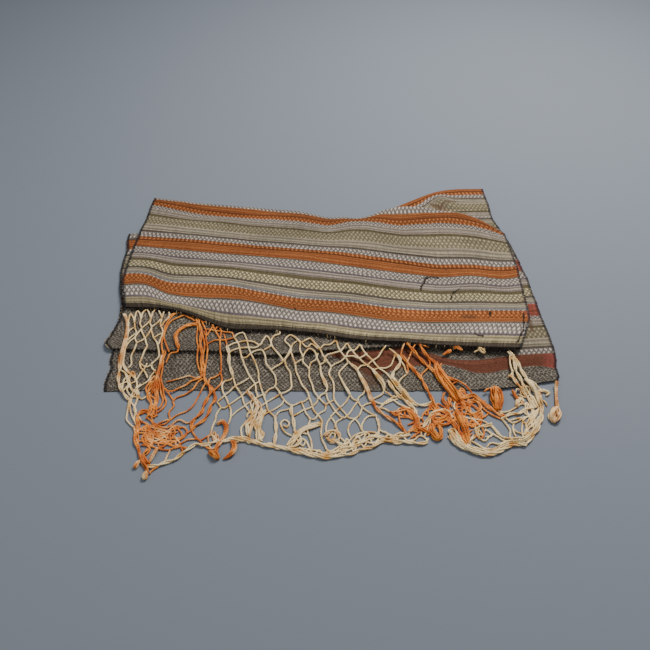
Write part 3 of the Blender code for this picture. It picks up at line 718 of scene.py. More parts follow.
# %% Strands in the middle
MIDDLE_NET = (
    (0.05, 0.1, ((234, 337.5), (238, 334), (243.5, 333), (246, 338), (248, 345), (251, 354), (255, 362),
     (258, 371), (259, 380), (261, 388), (263, 394), (266, 402), (268, 410), (275, 417))),
    (0.1, 0.05, ((234, 337.5), (238, 343), (240, 350), (242, 358), (245, 366), (249, 375), (255, 384),
     (256, 391), (258, 397))),
    (0.05, 0.1, ((227, 347), (232, 344), (239, 342), (247, 341), (254, 342), (260, 345), (263, 340),
     (267, 336), (271, 342), (270, 346), (264, 350))),
    (0.05, 0.05, ((229, 354), (231, 351), (238, 348.5), (247, 347.5), (255, 347.5), (260, 345))),
    (0.05, 0.05, ((227, 347), (229, 354), (229, 362), (231, 370), (233, 377)), 2),
    (0.05, 0.05, ((233, 377), (235, 385), (239, 391), (242, 396), (244, 403), (249, 411), (254, 415))),
    (0.05, 0.05, ((233, 377), (230, 380), (225, 381), (222, 385), (223, 392), (226, 398), (229, 405))),
    (0.05, 0.05, ((229, 405), (225, 408), (221, 407.5))),
    (0.05, 0.05, ((229, 405), (231, 411), (230, 419), (228, 425))),
    (0.05, 0.1, ((229, 405), (236, 400), (243, 395), (249, 389), (255, 384), (260, 381))),
    (0.05, 0.05, ((217, 402), (224, 396), (230, 391), (235, 386), (241, 383), (249, 378))),
    (0.05, 0.2, ((231, 417), (236, 412), (243, 407), (250, 402), (258, 397), (266, 393))),
    (0.05, 0.1, ((242, 358), (247, 357), (250, 354), (255, 351), (262, 350), (265, 356), (266, 363),
     (271, 370), (275, 376), (276, 383), (275, 387))),
    (0.1, 0.1, ((271, 370), (275, 367), (280, 364), (283, 361), (280, 356), (276, 351), (272, 346),
     (271, 341), (274, 336), (279, 334), (280, 331), (278, 327.5))),
    (0.1, 0.3, ((275, 387), (270, 389), (266, 393), (264, 398))),
    (0.1, 0.1, ((275, 387), (279, 391), (282, 397), (286, 402), (292, 406))),
    (0.1, 0.15, ((292, 406), (291, 411), (293, 418), (294, 425), (295, 431), (298, 435)), 2),
    (0.1, 0.15, ((280, 394), (286, 392), (291, 388), (291, 379), (290, 372), (286, 366), (285, 360),
     (289, 354), (291, 350), (289, 345), (285, 341), (287, 337), (291, 335), (296, 338))),
    (0.1, 0.1, ((283, 361), (287, 356), (290, 350), (293, 344), (297, 341))),
    (0.1, 0.1, ((291, 352), (293, 358), (295, 364), (296, 371), (299, 378), (302, 385), (307, 391),
     (309, 397), (312, 405))),
    (0.1, 0.15, ((296, 338), (300, 342), (300, 350), (303, 357), (303, 362), (309, 369), (309, 377),
     (312, 384), (314, 391), (320, 399), (326, 405))),
    (0.1, 0.1, ((295, 364), (299, 361), (303, 359))),
    (0.15, 0.1, ((296, 338), (301, 342), (306, 340), (310, 338.5), (314, 342), (320, 349), (323, 355),
     (327, 361), (331, 367), (329, 374), (333, 382), (334, 391), (334, 399), (340, 408))),
    (0.1, 0.1, ((302, 343), (307, 347), (312, 344), (318, 349))),
    (0.1, 0.1, ((303, 357), (306, 351), (310, 348.5), (315, 352), (317, 358), (320, 365), (321, 372),
     (323, 379), (327, 385), (326, 392), (321, 395), (318, 399))),
    (0.1, 0.1, ((309, 369), (311, 363), (316, 359), (318, 353))),
    (0.1, 0.1, ((320, 365), (325, 362), (327, 361))),
    (0.1, 0.1, ((320, 349), (324, 345), (330, 344.5), (336, 341), (338, 347), (341, 352), (345, 357),
     (348, 362), (344, 367), (339, 373), (342, 381), (346, 388), (350, 394), (353, 399), (358, 401))),
    (0.15, 0.05, ((324, 361), (327, 355), (333, 353), (340, 351), (344, 347), (347, 343.5), (350, 348),
     (355, 354), (361, 360), (367, 365), (373, 370), (378, 377), (383, 385), (384, 391))),
    (0.15, 0.05, ((331, 367), (335, 364), (341, 361), (346, 357), (353, 356), (358, 358), (364, 356),
     (367, 353))),
    (0.05, 0.05, ((346, 357), (349, 351), (355, 350), (360, 345), (363, 350), (367, 355), (373, 361),
     (379, 368), (386, 373), (391, 379))),
    (0.1, 0.8, ((348, 362), (353, 366), (357, 370), (361, 378), (366, 388), (369, 396), (373, 403),
     (379, 411), (387, 417), (395, 422), (401, 427), (406, 434)), 2),
    (0.05, 0.05, ((357, 370), (361, 366), (367, 365), (372, 361), (378, 357), (382, 351), (386, 345.5))),
    (0.05, 0.05, ((373, 370), (379, 368), (386, 368), (391, 365), (394, 358), (395, 353), (389, 348.5))),
    (0.1, 0.05, ((391, 350), (396, 354), (400, 360), (404, 366), (407, 374))),
    (0.05, 0.1, ((396, 354), (400, 360), (399, 366), (394, 372), (391, 379)), 2),
    (0.05, 0.05, ((384, 391), (389, 394), (394, 397), (400, 396), (406, 393))),
    (0.05, 0.05, ((394, 397), (388, 400), (383, 404), (380, 408))),
    (0.05, 0.05, ((366, 388), (363, 394), (359, 397), (358, 401), (362, 407), (367, 411), (376, 416))),
    (0.05, 0.15, ((384, 391), (381, 395), (375, 398), (371, 400))),
    (0.15, 0.05, ((371, 400), (378, 403), (384, 404), (391, 401), (398, 399))),
    (0.05, 0.1, ((362, 407), (367, 404), (373, 403))),
    (0.05, 0.1, ((380, 408), (385, 409), (391, 412), (397, 411))),
    (0.15, 0.2, ((275, 417), (276, 425), (276, 433), (275, 440), (274, 446)), 2),
    (0.1, 0.1, ((275, 417), (279, 412), (285, 410), (291, 409))),
    (0.1, 0.1, ((261, 417), (267, 413), (275, 409), (281, 405), (284, 400))),
    (0.05, 0.1, ((255, 407), (261, 406), (267, 402), (274, 398), (280, 394))),
    (0.1, 0.1, ((309, 397), (305, 401), (299, 403), (292, 406))),
    (0.1, 0.1, ((293, 416), (299, 413), (304, 410), (310, 408), (316, 403), (318, 399))),
    (0.1, 0.15, ((301, 401), (303, 406), (306, 413), (310, 419), (308, 426), (308, 433), (311, 441),
     (312, 450))),
    (0.1, 0.1, ((312, 405), (314, 411), (319, 416), (322, 422), (321, 431), (322, 439), (325, 446),
     (328, 452))),
    (0.1, 0.1, ((310, 419), (315, 419), (319, 414), (325, 410), (326, 405), (330, 402), (334, 400))),
    (0.1, 0.1, ((350, 395), (346, 402), (340, 408))),
    (0.15, 0.15, ((340, 408), (336, 411), (331, 417), (327, 423), (326, 430), (328, 436))),
    (0.1, 0.1, ((340, 408), (344, 412), (349, 418), (355, 419), (359, 424), (362, 430), (367, 434))),
    (0.1, 0.1, ((358, 401), (353, 408), (349, 414), (343, 418), (337, 413), (332, 406), (328, 400),
     (326, 392))),
    (0.1, 0.2, ((362, 407), (360, 414), (355, 419), (350, 424), (348, 431), (351, 438))),
    (0.15, 0.15, ((331, 417), (335, 423), (337, 430), (340, 437), (345, 442))),
    (0.1, 0.1, ((343, 418), (337, 422), (335, 428))),
    (0.05, 0.1, ((376, 416), (370, 416), (365, 419), (362, 425), (362, 430))),
    (0.15, 0.1, ((376, 416), (378, 423), (380, 430), (386, 433), (393, 436))),
    (0.4, 0.2, ((247, 391), (251, 396), (255, 400), (258, 406)), 3),
    (0.15, 0.15, ((258, 406), (255, 413), (250, 420), (247, 427), (249, 436)), 3),
    (0.1, 0.15, ((262, 409), (260, 417), (256, 424), (257, 433), (258, 441)), 2),
    (0.1, 0.1, ((259, 412), (261, 420), (259, 427), (263, 434), (260, 441)), 2),
    (0.1, 0.1, ((252, 416), (246, 422), (241, 429), (242, 437))),
    (0.05, 0.1, ((292, 436), (286, 433), (282, 428), (281, 423), (285, 420), (289, 423), (287, 427),
     (283.5, 425))),
    (0.1, 0.15, ((321, 423.5), (314, 425), (307, 428), (300, 431), (295, 436), (291, 442), (287, 447)), 3),
    (0.05, 0.1, ((297, 435), (301, 438), (299, 443), (294, 447), (288, 449)), 2),
    (0.1, 0.1, ((301, 438), (306, 441), (309, 447), (312, 452))),
    (0.25, 0.15, ((324, 436), (329, 432), (335, 431), (339, 435), (338, 441), (331, 441), (326, 438)), 2),
    (0.2, 0.15, ((331, 441), (338, 443), (344, 446), (349, 443)), 2),
)

MIDDLE_CORD = (
    (0.1, 0.1, ((217, 441), (225, 441), (233, 439.5), (241, 440), (249, 441), (257, 443), (266, 445),
     (276, 446), (286, 449), (296, 452), (306, 454.5), (316, 456.5), (326, 458), (334, 457), (342, 455),
     (350, 454.5), (358, 451), (366, 448.5), (374, 447), (380, 442), (390, 441.5), (400, 441.5), (410, 442.5),
     (419, 443.5), (426, 443), (428, 439)), 2),
    (0.1, 0.15, ((225, 441), (234, 438), (243, 438), (252, 440.5), (262, 444.5), (272, 446.5), (282, 448),
     (292, 449.5), (300, 450), (308, 453), (317, 455), (326, 456), (334, 453), (341, 450), (349, 447),
     (357, 445), (363, 442), (370, 438), (378, 437), (386, 438.5), (396, 437.5), (404, 436), (410, 434)), 2),
    (0.1, 0.1, ((296, 451), (302, 448.5), (309, 450), (316, 450.5), (324, 453), (332, 451), (340, 446),
     (348, 442), (354, 436), (361, 433), (370, 432), (379, 433.5))),
    (0.15, 0.1, ((322, 456), (329, 451), (337, 452), (346, 451), (354, 448), (361, 444), (368, 437),
     (375, 435))),
    (0.1, 0.1, ((341, 453), (347, 449), (352, 444), (358, 441), (366, 442), (374, 443), (379, 438))),
    (0.1, 0.05, ((352, 447), (354, 440), (360, 436), (366, 433))),
    (0.05, 0.05, ((385, 432), (392, 436), (400, 433), (408, 434))),
    (0.1, 0.15, ((232, 439), (237, 442), (243, 438), (249, 443), (256, 440), (263, 446), (270, 443),
     (277, 449), (284, 446))),
    (0.1, 0.15, ((290, 447), (294, 453), (300, 448), (304, 454), (309, 449), (313, 456), (319, 450),
     (324, 457), (329, 451), (334, 456), (339, 449), (344, 454), (349, 446), (354, 451), (359, 442),
     (364, 447), (369, 438), (374, 445), (380, 437))),
    (0.1, 0.1, ((337, 441), (342, 448), (347, 439), (352, 446), (357, 436), (362, 441), (367, 433),
     (372, 439), (377, 434), (383, 440), (389, 434), (395, 441), (401, 435), (407, 441))),
    (0.05, 0.05, ((390, 441), (397, 444), (406, 441), (414, 440), (419, 436), (424, 437), (427, 441),
     (422, 444), (415, 443))),
)

print("routes in the middle", len(MIDDLE_NET + MIDDLE_CORD))

# %% Strands at the right
RIGHT_ORANGE = (
    (0.7, 0.95, ((406, 342.5), (410, 347), (415, 353), (420, 359), (426, 365), (433, 371), (438, 378),
     (444, 386), (450, 393), (457, 399)), 2),
    (0.6, 0.7, ((401, 355), (402, 349), (404, 344), (406, 342.5))),
    (0.8, 0.85, ((410, 356), (412, 350), (415, 345), (418, 342.5), (423, 345), (429, 347.5))),
    (0.8, 0.9, ((418, 342.5), (422, 349), (427, 356), (434, 362), (440, 369), (446, 376), (452, 379.5),
     (458, 381)), 2),
    (0.85, 0.8, ((458, 381), (464, 384), (469, 389), (473, 395), (478, 400))),
    (0.75, 0.95, ((401, 355), (406, 361), (411, 367), (416, 372), (421, 379), (426, 388), (430, 396),
     (434, 403), (439, 410)), 2),
    (0.6, 0.6, ((410, 356), (407, 363), (408, 370), (407, 374))),
    (0.8, 0.85, ((407, 363), (412, 369), (417, 375), (421, 379))),
    (0.75, 0.75, ((427, 356), (430, 363), (427, 369), (422, 374), (421, 379))),
    (0.95, 0.9, ((436, 362), (436, 370), (440, 378), (446, 386), (452, 393), (458, 401)), 3),
    (0.9, 0.95, ((441, 364), (440, 371), (445, 379), (449, 386), (454, 392), (461, 397)), 2),
    (0.75, 0.8, ((452, 391), (451.5, 385), (458, 381))),
    (0.7, 0.75, ((446, 376), (443, 382), (448, 386))),
    (0.85, 0.6, ((458, 399), (463, 405), (468, 411), (474, 414), (480, 411), (479, 404), (473, 401),
     (466, 403)), 2),
    (0.85, 0.7, ((461, 399), (468, 396), (476, 397), (481, 402), (487, 407), (493, 411), (500, 415),
     (507, 417)), 2),
    (0.8, 0.75, ((476, 399), (481, 406), (487, 412), (494, 416), (501, 419))),
    (0.95, 0.9, ((444, 393), (443, 400), (447, 406), (448, 412), (444, 418), (438, 422), (434, 427)), 2),
    (0.95, 0.95, ((439, 410), (446, 413), (451, 418), (448, 424), (441, 425), (434, 421), (432, 416)), 2),
    (0.9, 0.95, ((449, 398), (449, 406), (443, 411), (436, 413), (432, 419), (437, 424), (444, 421)), 2),
    (0.95, 0.9, ((434, 425), (432, 432), (434, 438), (440, 439), (441, 432), (438, 426)), 3),
    (0.9, 0.8, ((451, 419), (456, 426), (460, 433), (463, 440)), 2),
    (0.95, 0.8, ((460, 415), (464, 423), (465, 431), (463, 438), (466, 445)), 3),
    (0.85, 0.8, ((467, 419), (468, 427), (466, 434), (470, 441))),
    (0.8, 0.9, ((454, 399), (457, 406), (456, 412), (460, 419), (468, 423), (476, 425), (482, 423))),
    (0.85, 0.95, ((463, 404), (462, 412), (466, 420), (472, 427), (478, 423), (482, 418))),
    (0.9, 0.9, ((472, 402), (470, 409), (474, 416), (482, 418), (488, 414))),
    (0.75, 0.6, ((390, 412), (396, 415), (402, 411), (409, 410), (415, 415), (418, 421), (414, 428),
     (407, 433)), 2),
    (0.7, 0.85, ((398, 409), (399, 417), (401, 425), (405, 431), (407, 437))),
    (0.75, 0.9, ((401, 408), (407, 411), (413, 417), (417, 423)), 2),
    (0.7, 0.9, ((432, 409), (425, 412), (422, 418), (426, 425), (431, 432))),
    (0.95, 0.85, ((412, 428), (419, 429), (426, 431), (433, 434)), 3),
    (0.9, 0.6, ((424, 430), (418, 433), (411, 438))),
    (0.9, 0.9, ((445, 419), (452, 424), (456, 431), (453, 436))),
    (0.8, 0.9, ((481, 426), (484, 432), (482, 438), (476, 436))),
)

RIGHT_NET = (
    (0.05, 0.1, ((391, 379), (395, 385), (400, 391), (405, 397), (411, 403), (418, 406))),
    (0.05, 0.1, ((391, 375), (396, 382), (402, 389), (408, 396), (413, 402), (419, 405), (427, 405),
     (431, 402)), 2),
    (0.05, 0.05, ((388, 381), (393, 389), (398, 395), (404, 400), (410, 405), (415, 410), (416, 416),
     (421, 419)), 2),
    (0.05, 0.05, ((380, 408), (386, 402), (393, 400), (399, 404), (406, 407), (413, 411))),
    (0.1, 0.05, ((407, 374), (402, 378), (399, 382), (398, 388))),
    (0.1, 0.05, ((423, 428), (427, 421), (431, 415), (437, 411.5), (443, 410), (449, 413), (453, 418)), 2),
    (0.05, 0.05, ((424, 437), (427, 430), (430, 423), (430, 418), (434, 416.5), (440, 413))),
    (0.05, 0.05, ((421, 436), (422, 430), (426, 424))),
    (0.15, 0.1, ((453, 394), (455, 401), (454, 407), (458, 412), (464, 417), (472, 419), (480, 420),
     (487, 423), (493, 428), (498, 434), (505, 438))),
    (0.05, 0.15, ((508, 351.5), (513, 356), (517, 362), (521, 370), (526, 378), (533, 386), (539, 394),
     (541, 404), (542, 412), (541, 420), (537, 430), (531, 438), (526, 445)), 2),
    (0.2, 0.1, ((512, 357), (514.5, 364), (516, 371), (520, 379), (524, 387), (529, 394), (534, 401),
     (538, 407)), 2),
    (0.2, 0.1, ((509, 376), (513, 378), (517, 384), (522, 390), (527, 397), (531, 403), (535, 408)), 2),
    (0.15, 0.15, ((510, 355), (510, 363), (512, 371), (513, 378))),
    (0.1, 0.1, ((527, 379), (533, 382), (538, 387), (544, 391), (548, 393))),
    (0.2, 0.2, ((513, 372), (509, 377))),
    (0.1, 0.1, ((538, 391), (544, 391), (549, 393)), 2),
    (0.1, 0.1, ((540, 399), (545, 402), (547, 406))),
    (0.1, 0.15, ((526, 445), (520, 444.5), (512, 445), (504, 449), (496, 453), (488, 455), (479, 454),
     (470, 450), (461, 447), (454, 442), (449, 436)), 3),
    (0.15, 0.2, ((510, 442), (502, 446), (494, 450), (484, 451), (474, 449), (466, 446), (459, 441),
     (453, 435), (449, 431)), 3),
    (0.1, 0.15, ((449, 431), (454, 430), (458, 435), (461, 441), (467, 446), (471, 440), (475, 436)), 2),
    (0.1, 0.05, ((536, 404), (529, 405), (522, 404), (515, 408), (509, 411), (503, 412), (498, 409))),
    (0.05, 0.05, ((538, 406), (531, 408), (524, 411), (518, 414), (511, 414), (505, 417), (502, 419)), 2),
    (0.05, 0.05, ((541, 408), (534, 412), (528, 416), (523, 421), (522, 429), (523, 437))),
    (0.05, 0.05, ((541, 414), (537, 420), (535, 427), (530, 433), (524, 438))),
    (0.05, 0.1, ((538, 409), (534, 416), (535, 423), (529, 428), (526, 434))),
    (0.05, 0.05, ((502, 419), (506, 424), (510, 430), (510, 436), (512, 440))),
    (0.05, 0.05, ((505, 417), (509, 421), (514, 423), (520, 420), (526, 417))),
    (0.05, 0.05, ((514, 423), (513, 430), (516, 437))),
    (0.05, 0.05, ((523, 421), (527, 427), (524, 434))),
    (0.05, 0.05, ((505, 438), (512, 438), (519, 438), (526, 437), (532, 433))),
    (0.05, 0.05, ((479, 438), (477, 431), (480, 427), (486, 426), (491, 424)), 2),
    (0.05, 0.05, ((485, 429), (491, 433), (498, 437), (505, 441), (512, 440))),
    (0.05, 0.05, ((479, 438), (485, 441), (489, 437), (494, 434))),
    (0.05, 0.05, ((487, 447), (491, 443), (498, 444), (505, 442), (512, 440))),
    (0.05, 0.05, ((473, 419), (478, 424), (482, 428))),
    (0.1, 0.1, ((471, 441), (477, 444), (483, 448), (490, 449))),
    (0.05, 0.1, ((491, 424), (496, 430), (501, 436))),
    (0.1, 0.1, ((519, 438), (522, 443), (526, 445))),
    (0.1, 0.05, ((497, 409), (502, 414), (509, 421))),
    (0.05, 0.1, ((528, 405), (527, 412), (531, 419), (528, 426))),
)

print("routes at the right", len(RIGHT_ORANGE + RIGHT_NET))

# %% [markdown]
# ## Twisted strands
# Each strand is a two-ply yarn of thick cotton. A curve with a round bevel would give smooth
# wire, so the rings of a tube are set by hand: each has two lobes, and the lobes turn along
# the strand. The height of a strand comes from the surface it lies on.

# %% Where the fringe lies
LIE_GAP = 0.5
FOLD_CLEARANCE = 6.5
FOLD_SLOPE_LENGTH = 24.0
HEM_CLEARANCE = 4.5
HEM_SLOPE_LENGTH = 9.0
LIFT_AHEAD = 26.0


def lie_height(x, y):
    """Height of the underside of a strand: on the folds, over their edges, on the table."""
    past_fold = line_y_at_x(FRONT_FOLD, np.minimum(x, FRONT_FOLD.right)) - FOLD_CLEARANCE - y
    past_hem = line_y_at_x(BOTTOM_FRONT, x) - HEM_CLEARANCE - y
    on_second = SECOND_Z + SHEET / 2 + LIE_GAP
    on_bottom = SHEET + LIE_GAP + far_hem_lift(x + LIFT_AHEAD)
    share_fold = np.clip(past_fold / FOLD_SLOPE_LENGTH, 0.0, 1.0)
    share_hem = np.clip(past_hem / HEM_SLOPE_LENGTH, 0.0, 1.0)
    return (on_second + (on_bottom - on_second) * share_fold) * (1 - share_hem)


def route_places(pixels):
    """X and Y of a route's points, on what lies below them."""
    u, v = np.array(pixels, float).T
    x, y = photo_place(u, v, 2.0)
    for _ in range(SETTLING * 2):
        x, y = photo_place(u, v, lie_height(x, y) + STRAND_RADIUS)
    return np.stack([x, y], axis=1)


# %% A strand as rings of points
Route = namedtuple("Route", "dye end_dye points ply", defaults=(1,))
STRAND_RADIUS = 1.7
STRAND_STEP = 2.3
STRAND_SIDES = 8
LOBE_DEPTH = 0.36
TWIST_LENGTH = 9.0
KINK = 0.55
KINK_SIZE = 9.0
BUNDLE_TURN_LENGTH = 46.0
PLY_SPREAD = (0.0, 0.0, 1.0, 1.25)
STRAND_DARKNESS = 0.10


def unit(vectors):
    return vectors / np.maximum(np.linalg.norm(vectors, axis=-1, keepdims=True), 1e-9)


def even_points(points, step):
    """A smooth curve through the points, as points an even step apart."""
    places = np.linspace(0, len(points) - 1, 12 * (len(points) - 1) + 1)
    smooth = np.stack([curve_through(points[:, axis], places) for axis in range(points.shape[1])], axis=1)
    travelled = np.concatenate([[0.0], np.cumsum(np.linalg.norm(np.diff(smooth, axis=0), axis=1))])
    count = max(3, int(round(travelled[-1] / step)) + 1)
    at = np.linspace(0, travelled[-1], count)
    return np.stack([np.interp(at, travelled, smooth[:, axis]) for axis in range(points.shape[1])], axis=1)


class Yarn:
    """Collects strands, and makes them one mesh that knows its dye."""

    def __init__(self):
        self.points, self.faces, self.dyes, self.grooves, self.darks = [], [], [], [], []
        self.count = 0

    def strand(self, centre, radius, dye, sides=STRAND_SIDES, turn=0.0, dark=0.0):
        """A tube of two twisted lobes around a centre line."""
        rings = len(centre)
        ahead = unit(np.gradient(centre, axis=0))
        travelled = np.concatenate([[0.0], np.cumsum(np.linalg.norm(np.diff(centre, axis=0), axis=1))])
        side = np.zeros_like(centre)
        start = np.cross(ahead[0], (0.0, 0.0, 1.0))
        side[0] = unit(start if np.linalg.norm(start) > 0.1 else np.cross(ahead[0], (0.0, 1.0, 0.0)))
        for index in range(1, rings):
            kept = side[index - 1] - ahead[index] * np.dot(side[index - 1], ahead[index])
            side[index] = unit(kept)
        up = np.cross(side, ahead)
        angles = np.arange(sides) * 2 * math.pi / sides
        lobe = turn + travelled * 2 * math.pi / TWIST_LENGTH
        # How deep each point lies between the lobes; the yarn's material paints shade there.
        groove = 0.5 - 0.5 * np.cos(2 * (angles - lobe[:, None]))
        size = np.asarray(radius)[..., None] * (1 - LOBE_DEPTH * groove)
        ring = (np.cos(angles)[None, :, None] * side[:, None] + np.sin(angles)[None, :, None] * up[:, None])
        points = centre[:, None] + size[..., None] * ring
        first = self.count
        self.points.append(points.reshape(-1, 3))
        self.dyes.append(np.repeat(np.broadcast_to(dye, rings), sides))
        self.darks.append(np.repeat(np.broadcast_to(dark, rings), sides))
        self.grooves.append(groove.ravel())
        corner = first + np.arange(rings * sides).reshape(rings, sides)
        following = np.roll(corner, -1, axis=1)
        walls = np.stack([corner[:-1], corner[1:], following[1:], following[:-1]], axis=-1)
        self.faces += walls.reshape(-1, 4).tolist()
        self.faces += [corner[0].tolist(), corner[-1][::-1].tolist()]
        self.count += rings * sides

    def finish(self, name):
        mesh = bpy.data.meshes.new(name)
        mesh.from_pydata(to_frame(np.concatenate(self.points)).tolist(), [], self.faces)
        for kind, values in (("dye", self.dyes), ("groove", self.grooves), ("dark", self.darks)):
            attribute = mesh.attributes.new(kind, "FLOAT", "POINT")
            attribute.data.foreach_set("value", np.concatenate(values).astype(np.float32))
        mesh.update()
        mesh.shade_smooth()
        piece = bpy.data.objects.new(name, mesh)
        bpy.context.scene.collection.objects.link(piece)
        print(name, "triangles", sum(len(face) - 2 for face in self.faces))
        return piece


def kinked(line, seed):
    """The line with the small kinks that yarn keeps from its twist."""
    moved = line.copy()
    for index, (x, y) in enumerate(line):
        spot = Vector((x / KINK_SIZE, y / KINK_SIZE, seed * 3.7))
        fade = min(1.0, index / 2, (len(line) - 1 - index) / 2)
        moved[index] += KINK * fade * np.array([noise.noise(spot), noise.noise(spot + Vector((9, 5, 2)))])
    return moved


def lay_route(yarn, route, seed, radius):
    """Lays the strands of a route beside each other, turning slowly about its line."""
    rng = random.Random(seed)
    line = kinked(even_points(route_places(route.points), STRAND_STEP), seed)
    ahead = unit(np.gradient(line, axis=0))
    aside = np.stack([-ahead[:, 1], ahead[:, 0]], axis=1)
    share = np.linspace(0.0, 1.0, len(line))
    length = len(line) * STRAND_STEP
    for strand in range(route.ply):
        phase = 2 * math.pi * (strand / route.ply + length * share / BUNDLE_TURN_LENGTH) + seed
        spread = radius * PLY_SPREAD[route.ply] * (0.85 + 0.25 * rng.random())
        offset = spread * np.cos(phase)
        rise = spread * 0.6 * (1 + np.sin(phase))
        x, y = (line + aside * offset[:, None]).T
        z = lie_height(x, y) + radius * 0.9 + rise
        own_radius = radius * (0.92 + 0.16 * rng.random())
        taper = np.clip(0.72 + 0.28 * np.minimum(share, 1 - share) * length / 5.0, 0.0, 1.0)
        dye = np.clip(route.dye + (route.end_dye - route.dye) * share + rng.uniform(-0.1, 0.1), 0.0, 1.0)
        yarn.strand(np.stack([x, y, z], axis=1), own_radius * taper, dye, turn=rng.uniform(0, 6),
                    dark=rng.uniform(0.0, STRAND_DARKNESS))


# %% [markdown]
# ## Knots
# Where routes meet, the fringe has a knot. Each is a short helix of the same yarn, wound
# around the strands. It could be a bead, but then it wouldn't show its turns.

# %% Wind a knot wherever routes meet
KNOT_REACH = 2.6
KNOT_RADIUS = 1.2
KNOT_YARN = 1.1
KNOT_TURNS = 1.75
KNOT_STEPS = 7
KNOT_LENGTH = 2.4
KNOT_PRESSED = 0.95
KNOT_SIDES = 6
KNOT_SPACING = 1.6 * KNOT_REACH


def meeting_places(routes):
    """Places where a route ends on another one, with the mean direction and dye there."""
    spots = []
    for number, route in enumerate(routes):
        places = route_places(route.points)
        for index, place in enumerate(places):
            ahead = places[min(index + 1, len(places) - 1)] - places[max(index - 1, 0)]
            share = index / (len(places) - 1)
            dye = route.dye + (route.end_dye - route.dye) * share
            spots.append((place, ahead / np.linalg.norm(ahead), dye, number, index in (0, len(places) - 1)))
    found = []
    for place, ahead, dye, number, is_end in spots:
        if not is_end or any(np.linalg.norm(place - other[0]) < KNOT_SPACING for other in found):
            continue
        near = [s for s in spots if s[3] != number and np.linalg.norm(place - s[0]) < KNOT_REACH]
        if near:
            directions = [ahead] + [s[1] for s in near]
            leading = sum(d if d[1] < 0 else -d for d in directions)
            found.append((np.mean([place] + [s[0] for s in near], axis=0), unit(leading),
                          float(np.mean([dye] + [s[2] for s in near]))))
    return found


def wind_knot(yarn, place, ahead, dye):
    steps = int(KNOT_TURNS * KNOT_STEPS)
    angle = np.linspace(0, KNOT_TURNS * 2 * math.pi, steps + 1)
    along = np.linspace(-0.5, 0.5, steps + 1) * KNOT_LENGTH
    aside = np.array([-ahead[1], ahead[0]])
    wide = KNOT_RADIUS * np.cos(angle)
    x, y = (place + along[:, None] * ahead + wide[:, None] * aside).T
    z = lie_height(*place) + KNOT_YARN + KNOT_RADIUS * (1 + np.sin(angle)) * KNOT_PRESSED
    radius = np.full(steps + 1, KNOT_YARN)
    yarn.strand(np.stack([x, y, z], axis=1), radius, np.full(steps + 1, dye), sides=KNOT_SIDES)


# %% [markdown]
# ## Tufts and tangles
# Some of the fringe has come untwisted into tufts, and some is too tangled to follow strand by
# strand. A tuft could be a solid lump, but its edge would be hard, so it's a bundle of fibres
# that fills a lock as wide as the photograph shows it. A tangle is loops that wander about its
# middle, with the same result on every run.

# %% A tuft of fibres, and the wandering loops of a tangle
Tuft = namedtuple("Tuft", "dye end_dye fibres widths points")
Tangle = namedtuple("Tangle", "dye spread_dye loops u v reach_u reach_v")

FIBRE_RADIUS = 1.4
FIBRE_STEP = 2.2
FIBRE_SIDES = 6
FIBRE_WOBBLE = 0.7
TUFT_FLATNESS = 0.62
LOOP_POINTS = 7
LOOP_EVERY = 4


def lay_tuft(yarn, tuft, seed):
    """Fibres that fill a lock. Its widths are in pixels, one for each point."""
    rng = random.Random(seed)
    places = route_places(tuft.points)
    scale = np.linalg.norm(places[-1] - places[0]) / math.dist(tuft.points[0], tuft.points[-1])
    line = even_points(np.column_stack([places, np.array(tuft.widths) * scale / 2]), FIBRE_STEP)
    ahead = unit(np.gradient(line[:, :2], axis=0))
    aside = np.stack([-ahead[:, 1], ahead[:, 0]], axis=1)
    share = np.linspace(0.0, 1.0, len(line))
    for _ in range(tuft.fibres):
        reach = math.sqrt(rng.random())
        angle = rng.uniform(0, 2 * math.pi) + share * rng.uniform(-2.0, 2.0)
        half = np.maximum(line[:, 2] - FIBRE_RADIUS, 0.0) * reach
        spots = [Vector((s * 5, seed, angle[0])) for s in share]
        wobble = np.array([noise.noise(spot) for spot in spots]) * FIBRE_WOBBLE
        x, y = (line[:, :2] + aside * (half * np.cos(angle) + wobble)[:, None]).T
        rise = np.maximum(line[:, 2] - FIBRE_RADIUS, 0.0) * TUFT_FLATNESS
        z = lie_height(x, y) + FIBRE_RADIUS + rise * (1 + reach * np.sin(angle))
        taper = np.clip(0.45 + 6 * np.minimum(share + 0.05, 1 - share), 0.0, 1.0)
        dye = np.clip(tuft.dye + (tuft.end_dye - tuft.dye) * share + rng.uniform(-0.12, 0.12), 0.0, 1.0)
        radius = FIBRE_RADIUS * rng.uniform(0.85, 1.35)
        yarn.strand(np.stack([x, y, z], axis=1), radius * taper, dye, sides=FIBRE_SIDES,
                    turn=rng.uniform(0, 6), dark=rng.uniform(0.0, 2 * STRAND_DARKNESS))


def loops_of(tangle, seed):
    """Routes that wander about the middle of a tangle: arcs across it, and a few loops."""
    rng = random.Random(seed)
    routes = []
    for number in range(tangle.loops):
        is_loop = number % LOOP_EVERY == 0
        angle = rng.uniform(0, 2 * math.pi)
        turning = rng.choice((-1, 1)) * (rng.uniform(0.6, 1.2) if is_loop else rng.uniform(0.35, 0.75))
        points = []
        for step in range(LOOP_POINTS if is_loop else LOOP_POINTS - 2):
            reach = rng.uniform(0.25, 1.0) if is_loop else rng.uniform(0.7, 1.15)
            if not is_loop and step == 2:
                reach = rng.uniform(-0.3, 0.3)
                angle += math.pi / 2
            points.append((tangle.u + tangle.reach_u * reach * math.cos(angle),
                           tangle.v + tangle.reach_v * reach * math.sin(angle)))
            angle += turning * rng.uniform(0.5, 1.4)
        dye = min(1.0, max(0.0, tangle.dye + rng.uniform(-1, 1) * tangle.spread_dye))
        routes.append(Route(dye, dye, tuple(points)))
    return routes


